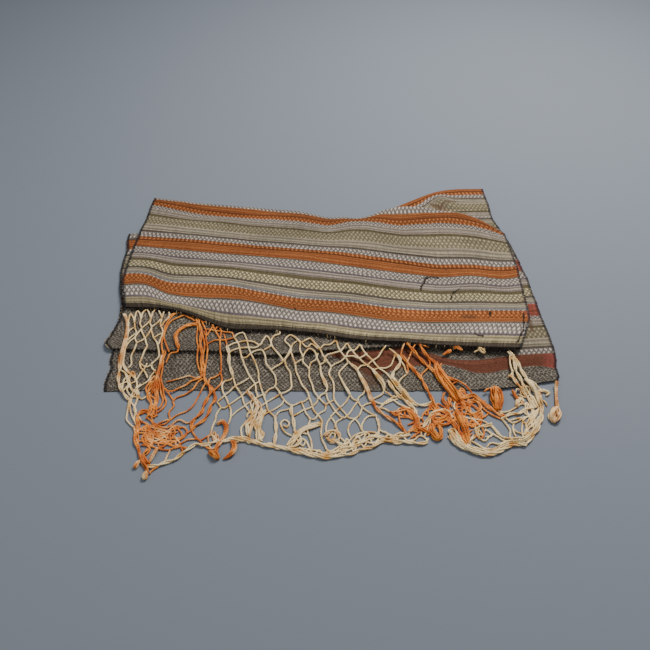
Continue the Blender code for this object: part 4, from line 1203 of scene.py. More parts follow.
# %% Tufts and tangles of the near fringe
# A row holds what a Tuft or a Tangle takes.
LEFT_TUFTS = (
    (0.38, 0.48, 3, (2, 4, 4, 4, 5, 4), ((124, 314), (127, 324), (126, 338), (123, 350), (121, 360),
     (120, 369))),
    (0.4, 0.7, 4, (2, 3, 4, 5, 3), ((137, 447), (139.5, 454), (142, 462), (145.5, 468), (148, 473))),
    (0.35, 0.6, 7, (2, 5, 6, 4), ((140.5, 460), (138, 463), (136, 466), (134.5, 468.5))),
    (0.45, 0.35, 9, (3, 6, 7, 5), ((147, 471), (146, 474), (145.3, 477), (145, 480))),
    (0.45, 0.4, 7, (4, 7, 6, 3), ((158, 448), (155, 453), (151.5, 458), (149, 463))),
    (0.85, 0.75, 18, (4, 8, 9, 7, 4), ((209, 452), (212.5, 454), (215.5, 456), (217, 458), (217.5, 460))),
    (0.75, 0.6, 14, (3, 6, 7, 7, 6, 4, 2), ((231, 441), (233.5, 444), (234.5, 448), (233, 452), (230, 455),
     (226.5, 457.5), (223, 459))),
    (0.8, 0.85, 10, (3, 4, 4, 4, 3), ((197, 325), (188, 325), (180, 330), (176, 336), (177, 345))),
    (0.6, 0.8, 4, (4, 7, 8, 7, 5), ((162, 356), (161, 366), (159, 376), (156, 386), (152, 394))),
    (0.8, 0.6, 8, (2, 4, 5, 4, 2), ((217, 424), (224, 423), (226.5, 429), (224, 437), (218, 445))),
)
LEFT_TANGLES = (
    (0.18, 0.08, 2, 128, 381, 8, 14),
    (0.75, 0.2, 4, 155, 398, 10, 20),
    (0.78, 0.2, 6, 145, 432, 10, 15),
    (0.68, 0.28, 6, 165, 432, 22, 9),
    (0.78, 0.2, 2, 170, 446, 20, 5),
    (0.6, 0.3, 2, 213, 438, 6, 14),
)
MIDDLE_TUFTS = (
    (0.55, 0.2, 6, (3, 6, 6, 6, 3), ((252, 398), (259, 406), (257, 417), (252, 428), (250, 438))),
    (0.15, 0.15, 9, (2, 5, 6, 5, 2), ((322, 424), (313, 427), (304, 430), (297, 437), (291, 446))),
    (0.1, 0.6, 8, (2, 4, 5, 3, 4, 2), ((357, 370), (361, 378), (366, 387), (370, 396), (373, 402),
     (376, 409))),
    (0.08, 0.12, 7, (2, 4, 5, 4, 2), ((372, 369), (376, 375), (380, 380), (383, 385), (384, 391))),
    (0.3, 0.12, 4, (2, 3, 4, 2), ((320, 369), (322, 376), (325, 382), (327, 388))),
    (0.15, 0.1, 4, (2, 3, 4, 2), ((342, 381), (345, 386), (348, 391), (350, 396))),
    (0.35, 0.3, 4, (3, 3, 3), ((378, 419), (379, 427), (378, 436))),
    (0.05, 0.15, 5, (3, 5, 6, 5, 3), ((262, 441), (260, 433), (261, 424), (263, 416), (266, 410))),
)
MIDDLE_TANGLES = (
    (0.1, 0.1, 3, 254, 412, 8, 14),
    (0.1, 0.1, 1, 300, 438, 10, 9),
    (0.1, 0.1, 2, 334, 437, 9, 6),
)
RIGHT_TUFTS = (
    (0.05, 0.1, 11, (2, 4, 5, 5, 3), ((392, 376), (397, 384), (402, 391), (407, 397), (411, 402))),
    (0.1, 0.12, 5, (4, 6, 8, 8, 7), ((525, 379), (530, 385), (535, 392), (538, 399), (541, 406))),
    (0.1, 0.15, 3, (5, 6, 6, 7, 7, 6), ((541, 406), (540, 420), (533, 435), (524, 443), (510, 445),
     (498, 450))),
    (0.1, 0.2, 4, (6, 7, 8, 8, 8, 7), ((498, 450), (486, 453), (474, 451), (462, 445), (454, 438),
     (450, 431))),
    (0.9, 0.9, 8, (4, 7, 9, 9, 6), ((437, 364), (439, 373), (446, 384), (453, 393), (460, 402))),
    (0.92, 0.9, 12, (5, 8, 8, 6), ((431, 424), (432, 431), (436, 437), (440, 440))),
    (0.9, 0.85, 14, (5, 7, 8, 7, 5), ((456, 410), (460, 419), (464, 428), (466, 436), (468, 444))),
    (0.8, 0.8, 10, (4, 6, 5, 4), ((463, 399), (473, 396), (483, 403), (496, 412))),
    (0.85, 0.7, 9, (3, 5, 5, 4), ((408, 411), (415, 416), (417, 424), (411, 431))),
    (0.05, 0.05, 8, (2, 4, 4, 2), ((538, 391), (544, 391), (549, 393), (546, 396))),
    (0.9, 0.85, 9, (2, 4, 5, 3), ((443, 355), (446, 353.5), (449, 352), (451, 350))),
    (0.7, 0.6, 9, (3, 5, 5, 2), ((453, 349), (456, 347.5), (459, 349), (463, 350))),
    (0.02, 0.02, 9, (3, 6, 7, 4), ((477, 347), (479.5, 349), (482, 351), (485, 353.5))),
    (0.02, 0.02, 3, (3, 3, 1), ((481, 349), (482.5, 346), (485, 343))),
    (0.02, 0.02, 3, (3, 3, 1), ((480, 349), (477, 346), (473.5, 343.5))),
    (0.02, 0.02, 3, (3, 3, 1), ((482, 350), (486, 348.5), (489, 348))),
    (0.02, 0.02, 3, (2, 2, 1), ((480, 348), (480, 345), (479.5, 342))),
    (0.02, 0.02, 2, (2, 2, 1), ((479, 350), (476, 351), (474, 352.5))),
)
RIGHT_TANGLES = (
    (0.92, 0.15, 6, 441, 414, 14, 11),
    (0.9, 0.15, 5, 455, 401, 12, 13),
    (0.88, 0.2, 6, 466, 421, 16, 18),
    (0.85, 0.15, 4, 472, 404, 12, 8),
    (0.85, 0.15, 4, 421, 430, 12, 6),
    (0.6, 0.35, 3, 406, 415, 12, 9),
    (0.08, 0.08, 4, 533, 412, 8, 15),
    (0.08, 0.08, 1, 520, 425, 14, 13),
    (0.08, 0.08, 2, 483, 434, 9, 9),
    (0.08, 0.08, 2, 524, 394, 9, 10),
)


# %% Lay the fringe in three pieces
TUFT_SEEDS = 1000
TANGLE_SEEDS = 2000
LOOP_SEEDS = 3000
LOOSE_RADIUS = STRAND_RADIUS * 0.95


def lay_fringe(name, rows, tufts, tangles, seed):
    routes = [Route(*row) for row in rows]
    tangles = [Tangle(*row) for row in tangles]
    yarn = Yarn()
    for number, route in enumerate(routes):
        lay_route(yarn, route, seed + number, STRAND_RADIUS)
    for number, row in enumerate(tufts):
        lay_tuft(yarn, Tuft(*row), seed + TUFT_SEEDS + number)
    loops = []
    for number, tangle in enumerate(tangles):
        loops += loops_of(tangle, seed + TANGLE_SEEDS + number)
    for number, loop in enumerate(loops):
        lay_route(yarn, loop, seed + LOOP_SEEDS + number, LOOSE_RADIUS)
    knots = meeting_places(routes)
    for place, ahead, dye in knots:
        wind_knot(yarn, place, ahead, dye)
    print(name, "routes", len(routes), "tufts", len(tufts), "loops", len(loops), "knots", len(knots))
    return yarn.finish(name)


fringe_pieces = [
    lay_fringe("left_fringe", LEFT_NET + LEFT_ORANGE + LEFT_TANGLE, LEFT_TUFTS, LEFT_TANGLES, 100),
    lay_fringe("middle_fringe", MIDDLE_NET + MIDDLE_CORD, MIDDLE_TUFTS, MIDDLE_TANGLES, 300),
    lay_fringe("right_fringe", RIGHT_ORANGE + RIGHT_NET, RIGHT_TUFTS, RIGHT_TANGLES, 500),
]

# %% [markdown]
# ## The locks of the far end
# The far end of the cloth has a fringe too, but the packet hides nearly all of it. Three locks
# stick out at the front right. They could be left off, yet they show that there is a second
# fringe, so they are tufts made in the same way as those of the near fringe.

# %% The far end's last locks
FAR_TUFTS = (
    (0.72, 0.8, 30, (7, 11, 14, 13, 9, 6), ((493, 388), (494, 392), (495.5, 397), (496.5, 402), (497, 407),
     (498, 411))),
    (0.92, 0.92, 5, (3, 3, 2), ((489, 389), (486, 390.5), (484, 392.5))),
    (0.8, 0.55, 11, (3, 4, 5, 4, 2), ((512, 390), (514, 394), (517, 398), (520, 401), (524, 405))),
    (0.05, 0.3, 9, (2, 4, 5, 4), ((524, 402), (521, 399), (518, 402), (517, 407))),
    (0.4, 0.36, 12, (5, 5, 4, 4, 5), ((556, 382), (555.5, 388), (556, 394), (556.5, 400), (558, 408))),
    (0.44, 0.48, 24, (5, 9, 10, 9, 4), ((557, 408), (556, 412), (554.5, 416), (554, 419), (553, 423))),
    (0.1, 0.2, 5, (2, 3, 3, 1), ((553, 413), (550, 415), (549, 418), (551, 420))),
)

far_yarn = Yarn()
for number, row in enumerate(FAR_TUFTS):
    lay_tuft(far_yarn, Tuft(*row), 900 + number)
far_locks = far_yarn.finish("far_locks")

# %% [markdown]
# ## The frayed hem
# Along the near hem the weft has worn away, and short dark warp ends stand out over the fold.
# They could be painted on the cloth's edge. As strands they give the ragged dark line under the
# hem; nearly all of them are made near-black, so that line is partly the warp ends and partly a
# painted shadow under the hem. Small loops of weft stand out at the left selvages too.

# %% Warp ends under the hem, and weft loops at the selvage
HEM_ENDS = 900
HEM_END_RADIUS = 0.45
HEM_END_LENGTH = (2.5, 8.5)
HEM_DARK_AND_SHADOW_SHARE = 0.94
SELVAGE_LOOPS = 110
LOOP_RADIUS = 0.5
LOOP_STEPS = 6
END_STEPS = 5
END_SIDES = 5


def lay_hem_ends(yarn):
    rng = random.Random(77)
    hem = top[0].points
    for _ in range(HEM_ENDS):
        at = rng.uniform(0.02, 0.985) * (COLUMNS - 1)
        start = hem[int(at)] + (hem[int(at) + 1] - hem[int(at)]) * (at % 1)
        length = rng.uniform(*HEM_END_LENGTH)
        sway = rng.uniform(-2.0, 2.0)
        share = np.linspace(0.0, 1.0, END_STEPS)
        x = start[0] + sway * share ** 2
        y = start[1] + 0.8 - length * share
        z = start[2] + (SECOND_Z + SHEET - start[2]) * share ** 1.4
        # Painted shadow in part: most ends are near-black, to darken the line under the hem.
        dark = 1.0 if rng.random() < HEM_DARK_AND_SHADOW_SHARE else rng.uniform(0.0, 0.5)
        radius = np.full(END_STEPS, HEM_END_RADIUS)
        yarn.strand(np.stack([x, y, z], axis=1), radius, 0.2, sides=END_SIDES, dark=dark)


def lay_selvage_loops(yarn):
    rng = random.Random(78)
    for _ in range(SELVAGE_LOOPS):
        rows = rng.choice((second[-30:], third[:12], bottom[-26:]))
        edge = rows[rng.randrange(len(rows))].points[0]
        out = rng.uniform(1.5, 4.0)
        angle = np.linspace(0, math.pi, LOOP_STEPS)
        x = edge[0] - out * np.sin(angle) + 1.0
        y = edge[1] + 1.6 * np.cos(angle)
        z = np.maximum(edge[2] - 0.4 * np.sin(angle), LOOP_RADIUS)
        radius = np.full(LOOP_STEPS, LOOP_RADIUS)
        dark = rng.uniform(0.4, 1.0)
        yarn.strand(np.stack([x, y, z], axis=1), radius, 0.0, sides=END_SIDES, dark=dark)


frayed = Yarn()
lay_hem_ends(frayed)
lay_selvage_loops(frayed)
frayed_ends = frayed.finish("frayed_ends")

# %% [markdown]
# ## Shader maths
# A material is easier to read as a sum than as a list of nodes. Wire wraps a socket so that
# it can be added and multiplied, and Recipe makes every other node.

# %% Wires and recipes
class Wire:
    """A socket that arithmetic can be written with. Each operation adds a Math node."""

    def __init__(self, recipe, socket):
        self.recipe = recipe
        self.socket = socket

    def maths(self, operation, *values):
        sockets = {index: value for index, value in enumerate(values)}
        return self.recipe.node("Math", {"operation": operation}, sockets)

    def __add__(self, other):
        return self.maths("ADD", self, other)

    def __sub__(self, other):
        return self.maths("SUBTRACT", self, other)

    def __rsub__(self, other):
        return self.maths("SUBTRACT", other, self)

    def __mul__(self, other):
        return self.maths("MULTIPLY", self, other)

    def __truediv__(self, other):
        return self.maths("DIVIDE", self, other)

    __radd__ = __add__
    __rmul__ = __mul__

    def output(self, index):
        """Another output of the same node."""
        return Wire(self.recipe, self.socket.node.outputs[index])

    def size(self):
        return self.maths("ABSOLUTE", self)

    def sine(self):
        return self.maths("SINE", self)

    def at_least(self, limit):
        return self.maths("MAXIMUM", self, limit)

    def at_most(self, limit):
        return self.maths("MINIMUM", self, limit)

    def peaks(self):
        """1 at each whole number and 0 halfway between them."""
        return (self.maths("FRACT", self) * 2.0 - 1.0).size()

    def above(self, edge, softness):
        """0 below the edge and 1 above it, softly."""
        return ((self - edge) / softness + 0.5).at_least(0.0).at_most(1.0)

    def ranging(self, start, end):
        """From start, where the wire is 0, to end, where it is 1."""
        return self * (end - start) + start


class Recipe:
    """The nodes of one material."""

    def __init__(self, name):
        self.material = bpy.data.materials.new(name)
        self.material.use_nodes = True
        self.tree = self.material.node_tree
        self.tree.nodes.clear()

    def node(self, kind, settings=(), sockets=(), output=0):
        made = self.tree.nodes.new("ShaderNode" + kind)
        for name, value in dict(settings).items():
            if name == "stops":
                self.set_stops(made.color_ramp, value)
            else:
                setattr(made, name, value)
        for name, value in dict(sockets).items():
            if isinstance(value, Wire):
                self.tree.links.new(value.socket, made.inputs[name])
            else:
                made.inputs[name].default_value = value
        return Wire(self, made.outputs[output])

    def set_stops(self, ramp, stops):
        ramp.interpolation = "CONSTANT"
        while len(ramp.elements) < len(stops):
            ramp.elements.new(1.0)
        for element, (place, colour) in zip(ramp.elements, stops):
            element.position = place
            element.color = colour

    def mix(self, factor, first, second, blend="MIX"):
        """Colours mixed, from first to second."""
        settings = {"data_type": "RGBA", "blend_type": blend}
        return self.node("Mix", settings, {0: factor, 6: first, 7: second}, 2)

    def shaded(self, colour, shade):
        """The colour, lighter or darker."""
        tone = self.node("CombineColor", (), {0: shade, 1: shade, 2: shade})
        return self.mix(1.0, colour, tone, "MULTIPLY")

    def soft_noise(self, spot, scale, detail, output=0):
        return self.node("TexNoise", (), {"Vector": spot, "Scale": scale, "Detail": detail}, output)

    def finish(self, surface):
        output = self.tree.nodes.new("ShaderNodeOutputMaterial")
        self.tree.links.new(surface.socket, output.inputs["Surface"])
        return self.material


def srgb(red, green, blue):
    """A colour as a screen shows it, 0 to 255, as the light that a shader works with."""
    light = [v / 255 / 12.92 if v <= 10 else ((v / 255 + 0.055) / 1.055) ** 2.4 for v in (red, green, blue)]
    return (*light, 1.0)

# %% [markdown]
# ## The woven stripes
# The stripes run across the cloth's length in bands: plain ones, thin dark lines, finely lined
# ones, and bands with rows of small diamonds woven in a second colour. The table gives them in
# order from the near hem. Three ramps over the pattern place hold the ground colour, the
# figure's colour, and the facts of the figure: its kind, its phase, and how many rows of it
# there are to a millimetre. An image of the weave could do the same, but a table can be read
# and changed.

# %% The bands from the near hem
PLAIN = 0.0
LINED = 0.5
DIAMONDS = 1.0
Band = namedtuple("Band", "name width ground figure kind rows", defaults=(None, PLAIN, 0))

ORANGE = srgb(163, 99, 55)
ORANGE_LINE = srgb(104, 56, 30)
ORANGE_GROUND = srgb(124, 66, 32)
ORANGE_FIGURE = srgb(188, 120, 70)
WHITE_FIGURE = srgb(212, 197, 180)
WHITE_GROUND = srgb(108, 100, 94)
BEIGE = srgb(166, 151, 136)
OLIVE_BEIGE = srgb(160, 146, 111)
LIGHT_GREY = srgb(166, 153, 131)
LIGHT_GREY_LINE = srgb(118, 108, 92)
BEIGE_LINE = srgb(112, 100, 92)
OLIVE_BEIGE_LINE = srgb(118, 107, 84)
ORANGE_FINE_LINE = srgb(132, 72, 38)
DARK_LINE = srgb(88, 79, 68)
OLIVE_LINE = srgb(96, 86, 62)
PURPLE_LINE = srgb(104, 93, 94)
BLUE_GREY = srgb(112, 110, 112)
HEM_EDGE_SHADE = srgb(72, 63, 52)
OLIVE_GROUND = srgb(114, 103, 80)
OLIVE_FIGURE = srgb(170, 158, 128)
GREEN_FIGURE = srgb(210, 196, 154)
DARK_GROUND = srgb(64, 57, 50)
DARK_MIDDLE = srgb(120, 110, 98)
DARK_FIGURE = srgb(176, 165, 148)
RED_GROUND = srgb(116, 70, 53)
RED_FIGURE = srgb(130, 78, 58)
RED_SELVAGE = srgb(150, 80, 68)
SELVAGE = srgb(44, 43, 48)
STAIN_AND_SHADOW = srgb(80, 56, 42)
CRACK_AND_SLIT_SHADOW = srgb(34, 29, 25)

BANDS = (
    # Painted shade: the hem's edge band is made dark where the hem rolls under.
    Band("hem edge", 10, HEM_EDGE_SHADE),
    Band("olive beige", 13, OLIVE_BEIGE, OLIVE_BEIGE_LINE, LINED, 2),
    Band("purple line", 3, PURPLE_LINE),
    Band("white diamonds", 18, WHITE_GROUND, WHITE_FIGURE, DIAMONDS, 3),
    Band("grey line", 3, DARK_LINE),
    Band("orange 3", 10, ORANGE, ORANGE_FINE_LINE, LINED, 1),
    Band("orange 3 line", 2.2, ORANGE_LINE),
    Band("orange 3 zigzag", 17.8, ORANGE_GROUND, ORANGE_FIGURE, DIAMONDS, 3),
    Band("white beads", 6, WHITE_GROUND, WHITE_FIGURE, DIAMONDS, 1),
    Band("blue grey line", 5, BLUE_GREY),
    Band("light grey", 15, LIGHT_GREY, LIGHT_GREY_LINE, LINED, 2),
    Band("dark line", 5, DARK_LINE),
    Band("green diamonds", 21, OLIVE_GROUND, GREEN_FIGURE, DIAMONDS, 4),
    Band("olive line", 7, OLIVE_LINE),
    Band("beige", 15, BEIGE, BEIGE_LINE, LINED, 2),
    Band("second purple line", 5, PURPLE_LINE),
    Band("double white diamonds", 23, WHITE_GROUND, WHITE_FIGURE, DIAMONDS, 4),
    Band("line under orange 2", 3, DARK_LINE),
    Band("orange 2", 22, ORANGE, ORANGE_FINE_LINE, LINED, 3),
    Band("orange 2 line", 3, ORANGE_LINE),
    Band("orange 2 zigzag", 5, ORANGE_GROUND, ORANGE_FIGURE, DIAMONDS, 1),
    Band("white zigzag", 14, WHITE_GROUND, WHITE_FIGURE, DIAMONDS, 2),
    Band("second dark line", 5, DARK_LINE),
    Band("second light grey", 15, LIGHT_GREY, LIGHT_GREY_LINE, LINED, 2),
    Band("olive diamonds", 21, OLIVE_GROUND, OLIVE_FIGURE, DIAMONDS, 4),
    Band("second olive line", 4, OLIVE_LINE),
    Band("beige grey", 14, BEIGE, LIGHT_GREY_LINE, LINED, 2),
    Band("rear white zigzag", 9, WHITE_GROUND, WHITE_FIGURE, DIAMONDS, 2),
    Band("orange 1 zigzag", 9, ORANGE_GROUND, ORANGE_FIGURE, DIAMONDS, 2),
    Band("orange 1 line", 2, ORANGE_LINE),
    Band("orange 1", 16, ORANGE, ORANGE_FINE_LINE, LINED, 2),
    Band("last white zigzag", 79, WHITE_GROUND, WHITE_FIGURE, DIAMONDS, 14),
)
FIGURE_WIDTH = 8.6
band_total = sum(band.width for band in BANDS)
print("bands", len(BANDS), "together", round(band_total, 1), "mm; the dark end starts at", DARK_START)

# %% Where a point of the cloth lies in the weave
ALONG_WAVER = 1.2
PLACE_WAVER = 2.16
SLIP = 9.0
WEAR = 0.7

Weave = namedtuple("Weave", "width spot place along flecks worn")


def noise_over(recipe, first, second, detail, roughness=0.5):
    """Noise over two wires, each already scaled to one unit of noise."""
    sockets = {"Vector": recipe.node("CombineXYZ", (), {0: first, 1: second}), "Scale": 1.0}
    return recipe.node("TexNoise", (), {**sockets, "Detail": detail, "Roughness": roughness})


def read_weave(recipe):
    """Places in the pattern, a little uneven, as the threads of a handwoven cloth are."""
    width = recipe.node("SeparateXYZ", (), {0: recipe.node("UVMap", {"uv_map": "weave"})})
    spot = recipe.node("TexCoord", (), (), 3)
    waver = recipe.soft_noise(spot, 42.0, 3.0) - 0.5
    place = width.output(1) + waver * PLACE_WAVER
    slip = noise_over(recipe, place * 0.11, width * 0.006, 1.0) - 0.5
    along = width + waver * ALONG_WAVER + slip * SLIP
    flecks = noise_over(recipe, along * 0.30, place * 0.45, 2.0)
    return Weave(width, spot, place, along, flecks, (flecks - 0.5) * WEAR)


# %% How the figures are woven
FIGURE_SOFTNESS = 0.5
FIGURE_SHARE = 0.56
LINE_SHARE = 0.62
LINE_SOFTNESS = 0.5


def band_ramp(recipe, place, value_of):
    """A ramp over the pattern place that holds one value for each band."""
    stops, start = [], 0.0
    for band in BANDS:
        stops.append((start / DARK_START, value_of(band, start)))
        start += band.width
    return recipe.node("ValToRGB", {"stops": stops}, {0: place / DARK_START})


def figure_facts(band, start):
    """The figure's kind, the phase of its rows and their number to a millimetre, both halved."""
    rows = band.rows / band.width
    return (band.kind, ((0.5 - start * rows) % 2.0) / 2, rows / 2, 1.0)


def lattice(half_rows, across_place):
    """0 in the middle of each woven diamond and 1 on the lines between; the rows alternate."""
    rising = (across_place + half_rows).peaks()
    falling = (across_place - half_rows).peaks()
    return rising.at_least(falling)


def woven_bands(recipe, weave):
    """The colours of the striped part, and where its diamonds lie."""
    ground = band_ramp(recipe, weave.place, lambda band, start: band.ground)
    figure = band_ramp(recipe, weave.place, lambda band, start: band.figure or band.ground)
    facts = recipe.node("SeparateColor", (), {0: band_ramp(recipe, weave.place, figure_facts)})
    half_rows = weave.place * facts.output(2) + facts.output(1)
    has_diamonds = facts.above((LINED + DIAMONDS) / 2, 0.1)
    has_lines = facts.above((PLAIN + LINED) / 2, 0.1) - has_diamonds
    in_diamond = lattice(half_rows, weave.along / FIGURE_WIDTH) + weave.worn
    diamonds = (1.0 - in_diamond.above(FIGURE_SHARE, FIGURE_SOFTNESS)) * has_diamonds
    from_line = (half_rows * 2.0).peaks() + weave.worn * 0.8
    lines = from_line.above(LINE_SHARE, LINE_SOFTNESS) * has_lines
    return recipe.mix(diamonds + lines, ground, figure), diamonds


# %% [markdown]
# ## The dark end
# The cloth's far end is dark brown with a small grey birdseye figure, and a red band with the
# same figure crosses it. It could be one more row of the table, but its figure is worn away in
# patches and has a third, middle tone, so it is mixed by itself.

# %% The dark end and the red band
BIRDSEYE_ROWS = 1 / 3.9
BIRDSEYE_WIDTH = 7.2
BIRDSEYE_WEAR = 1.5
EYE_SHARE = 0.20
EYE_LINE_SHARE = 0.74
RED_LINE_STRENGTH = 0.8
RIGHT_REACH = 20.0


def dark_and_red(recipe, weave):
    """The colour of the dark end, and the colour of its red band."""
    rows = lattice(weave.place * (BIRDSEYE_ROWS / 2), weave.along / BIRDSEYE_WIDTH)
    birdseye = rows + weave.worn * BIRDSEYE_WEAR
    patches = noise_over(recipe, weave.along * 0.11, weave.place * 0.14, 1.0)
    lines = birdseye.above(EYE_LINE_SHARE, 0.6) * patches.ranging(-0.1, 1.5).at_most(1.0)
    ground = recipe.mix(birdseye.above(EYE_SHARE, 0.5), DARK_MIDDLE, DARK_GROUND)
    red = recipe.mix(lines * RED_LINE_STRENGTH, RED_GROUND, RED_FIGURE)
    at_right = weave.width.above(CLOTH_WIDTH - RIGHT_REACH, RIGHT_REACH / 2)
    return recipe.mix(lines, ground, DARK_FIGURE), recipe.mix(at_right, red, RED_SELVAGE)


# %% [markdown]
# ## Wear, and painted light and shade
# An old cloth isn't one even tone. Its threads show as fine streaks, and there are a few stains
# and thin cracks. Painted light and shade go in with them: the front is painted lighter than the
# rear, the hem gets painted shade at its left, and a few dark marks are painted shadows, in a
# slit between layers and in the buckle at the rear. They could be painted by hand. Here noise
# gives the streaks and the soil, and each crack, stain or painted shadow is a short line of pixels
# that photo_place puts on the cloth.

# %% Streaks, soil, painted light towards the front and painted shade at the hem
BROAD_STREAKS = (1.09, 0.91)
FINE_STREAKS = (1.16, 0.84)
FLECK_SHADES = (0.25, 1.75)
SOIL_SHADES = (0.75, 1.25)
WARP_STRENGTH = (0.85, 2.75)
HEM_THREADS = 8.0
LIGHT_GRADIENT_END = 330.0
FRONT_LIGHTNESS = 1.16
LIGHT_LOSS_PER_MILLIMETRE = 0.0011
HEM_SHADE_DEPTH = 19.0
HEM_SHADE_WIDTH = 260.0
HEM_SHADE_STRENGTH = 0.32
CLOTH_DEPTH = 0.70


def cloth_shade(recipe, weave):
    """How light each place is, with painted light at the front and painted shade at the hem's left, and the
    fine streaks, which also stand out a little.
    """
    broad = noise_over(recipe, weave.place * 0.17, weave.along * 0.004, 1.0).above(0.5, 0.3)
    fine = noise_over(recipe, weave.place * 0.36, weave.along * 0.008, 3.0, 0.6).above(0.52, 0.22)
    warp_ends = noise_over(recipe, weave.along * 0.30, weave.place * 0.02, 2.0, 0.7) - 0.5
    near_hem = 1.0 - (weave.place - HEM_THREADS).size().above(HEM_THREADS, 8.0)
    soil = recipe.soft_noise(weave.spot, 9.0, 3.0)
    shade = broad.ranging(*BROAD_STREAKS) * fine.ranging(*FINE_STREAKS)
    shade = shade * weave.flecks.ranging(*FLECK_SHADES) * soil.ranging(*SOIL_SHADES)
    shade = shade * (1.0 + warp_ends * near_hem.ranging(*WARP_STRENGTH))
    # Painted light: the front is made lighter, and the cloth darker towards the rear.
    shade = shade * (FRONT_LIGHTNESS - weave.place.at_most(LIGHT_GRADIENT_END) * LIGHT_LOSS_PER_MILLIMETRE)
    # Painted shade along the hem at its left.
    at_hem = 1.0 - weave.place.above(HEM_SHADE_DEPTH, 10.0)
    at_left = 1.0 - weave.width.above(HEM_SHADE_WIDTH, HEM_SHADE_WIDTH)
    return shade * (1.0 - at_hem * at_left * HEM_SHADE_STRENGTH) * CLOTH_DEPTH, fine


# %% Cracks, stains, painted shadows and reddened ends
Mark = namedtuple("Mark", "half_width pixels height", defaults=(TOP_Z + SHEET / 2,))
CRACKS_AND_SLIT_SHADOW = (
    Mark(1.5, ((427, 277), (425, 281), (424, 284), (421, 286.5), (421, 291))),
    Mark(2.2, ((425, 279), (431, 277.5), (438, 279))),
    Mark(1.7, ((459, 289), (456, 291), (453, 293.5), (451, 299.5))),
    Mark(1.5, ((474, 334), (478, 336), (483, 336))),
    # Painted shadow: a dark line for the slit between layers at the top layer's right end.
    Mark(1.5, ((523.5, 313), (523.5, 326), (523, 331), (517, 343))),
    Mark(1.7, ((490, 279.5), (491, 281))),
    Mark(1.8, ((490, 312), (490, 316))),
    Mark(1.0, ((481, 292.5), (481.5, 294))),
    Mark(1.0, ((295, 308), (295.5, 310))),
    Mark(1.0, ((445, 269), (446, 270.5))),
)
RED_ENDS = (
    Mark(24.0, ((533, 310), (542, 308)), THIRD_Z),
    Mark(7.0, ((517, 254), (521, 267)), THIRD_Z),
)
STAINS_AND_SHADOWS = (
    Mark(4.0, ((463, 317), (474, 317))),
    Mark(3.5, ((531, 317), (534, 327))),
    # Painted shadow: the next three darken the pocket and the arcs of the buckle at the rear.
    Mark(5.0, ((437, 205), (447, 209)), 8.0),
    Mark(3.5, ((431, 203), (438, 209)), 8.0),
    Mark(2.5, ((440, 208), (443, 203.5), (447, 201), (455, 201.5)), 8.0),
    # The last two darken the red band's left end, where it comes out from under the front fold.
    Mark(9.0, ((346, 357), (359, 360)), SHEET),
    Mark(15.0, ((363, 369), (373, 379)), SHEET),
)
JAG = 0.008
STAIN_AND_SHADOW_STRENGTH = 0.6


def nearness(recipe, spot, mark):
    """1 on the mark's line and 0 away from it, for a mark given by pixels of the photograph."""
    x, y = photo_place(*np.array(mark.pixels, float).T, mark.height)
    corners = to_frame(np.stack([x, y, np.zeros(len(x))], axis=1))
    half_width = mark.half_width * MM
    flat = recipe.node("VectorMath", {"operation": "MULTIPLY"}, {0: spot, 1: (1, 1, 0)})
    total = None
    for start, end in zip(corners[:-1], corners[1:]):
        run = end - start
        shadow = tuple(run / (run @ run))
        away = recipe.node("VectorMath", {"operation": "SUBTRACT"}, {0: flat, 1: tuple(start)})
        share = recipe.node("VectorMath", {"operation": "DOT_PRODUCT"}, {0: away, 1: shadow}, 1)
        share = share.at_most(1.0).at_least(0.0)
        along_run = recipe.node("CombineXYZ", (), {0: share * run[0], 1: share * run[1]})
        rest = recipe.node("VectorMath", {"operation": "SUBTRACT"}, {0: away, 1: along_run})
        distance = recipe.node("VectorMath", {"operation": "LENGTH"}, {0: rest}, 1)
        near = 1.0 - distance.above(half_width, half_width * 0.8)
        total = near if total is None else total.at_least(near)
    return total


def reddened(recipe, weave, stripes):
    """The stripes, two orange ones turned red where they end at the right selvage."""
    parts = recipe.node("SeparateColor", (), {0: stripes})
    is_orange = (parts - parts.output(2)).above(0.2, 0.1)
    for mark in RED_ENDS:
        stripes = recipe.mix(nearness(recipe, weave.spot, mark) * is_orange, stripes, RED_SELVAGE)
    return stripes


def marked(recipe, weave, colour):
    """The colour with its ragged cracks, its stains and its painted shadows."""
    ragged = weave.flecks.ranging(-0.5, 2.5).at_most(1.0)
    jag = recipe.soft_noise(weave.spot, 170.0, 2.0, 1)
    sockets = {0: jag, 1: (JAG, JAG, 0.0), 2: weave.spot}
    moved = recipe.node("VectorMath", {"operation": "MULTIPLY_ADD"}, sockets)
    centred = {0: moved, 1: (JAG / 2, JAG / 2, 0.0)}
    jagged = recipe.node("VectorMath", {"operation": "SUBTRACT"}, centred)
    for mark in CRACKS_AND_SLIT_SHADOW:
        colour = recipe.mix(nearness(recipe, jagged, mark) * ragged, colour, CRACK_AND_SLIT_SHADOW)
    for mark in STAINS_AND_SHADOWS:
        near = nearness(recipe, weave.spot, mark)
        colour = recipe.mix(near * STAIN_AND_SHADOW_STRENGTH, colour, STAIN_AND_SHADOW)
    return colour


print("cracks", len(CRACKS_AND_SLIT_SHADOW), "stains", len(STAINS_AND_SHADOWS), "reddened ends", len(RED_ENDS))

# %% The cloth's material
SELVAGE_WIDTH = 4.5
BEAD_LENGTH = 5.2
WARP_PITCH = 1.15
WEFT_PITCH = 0.95


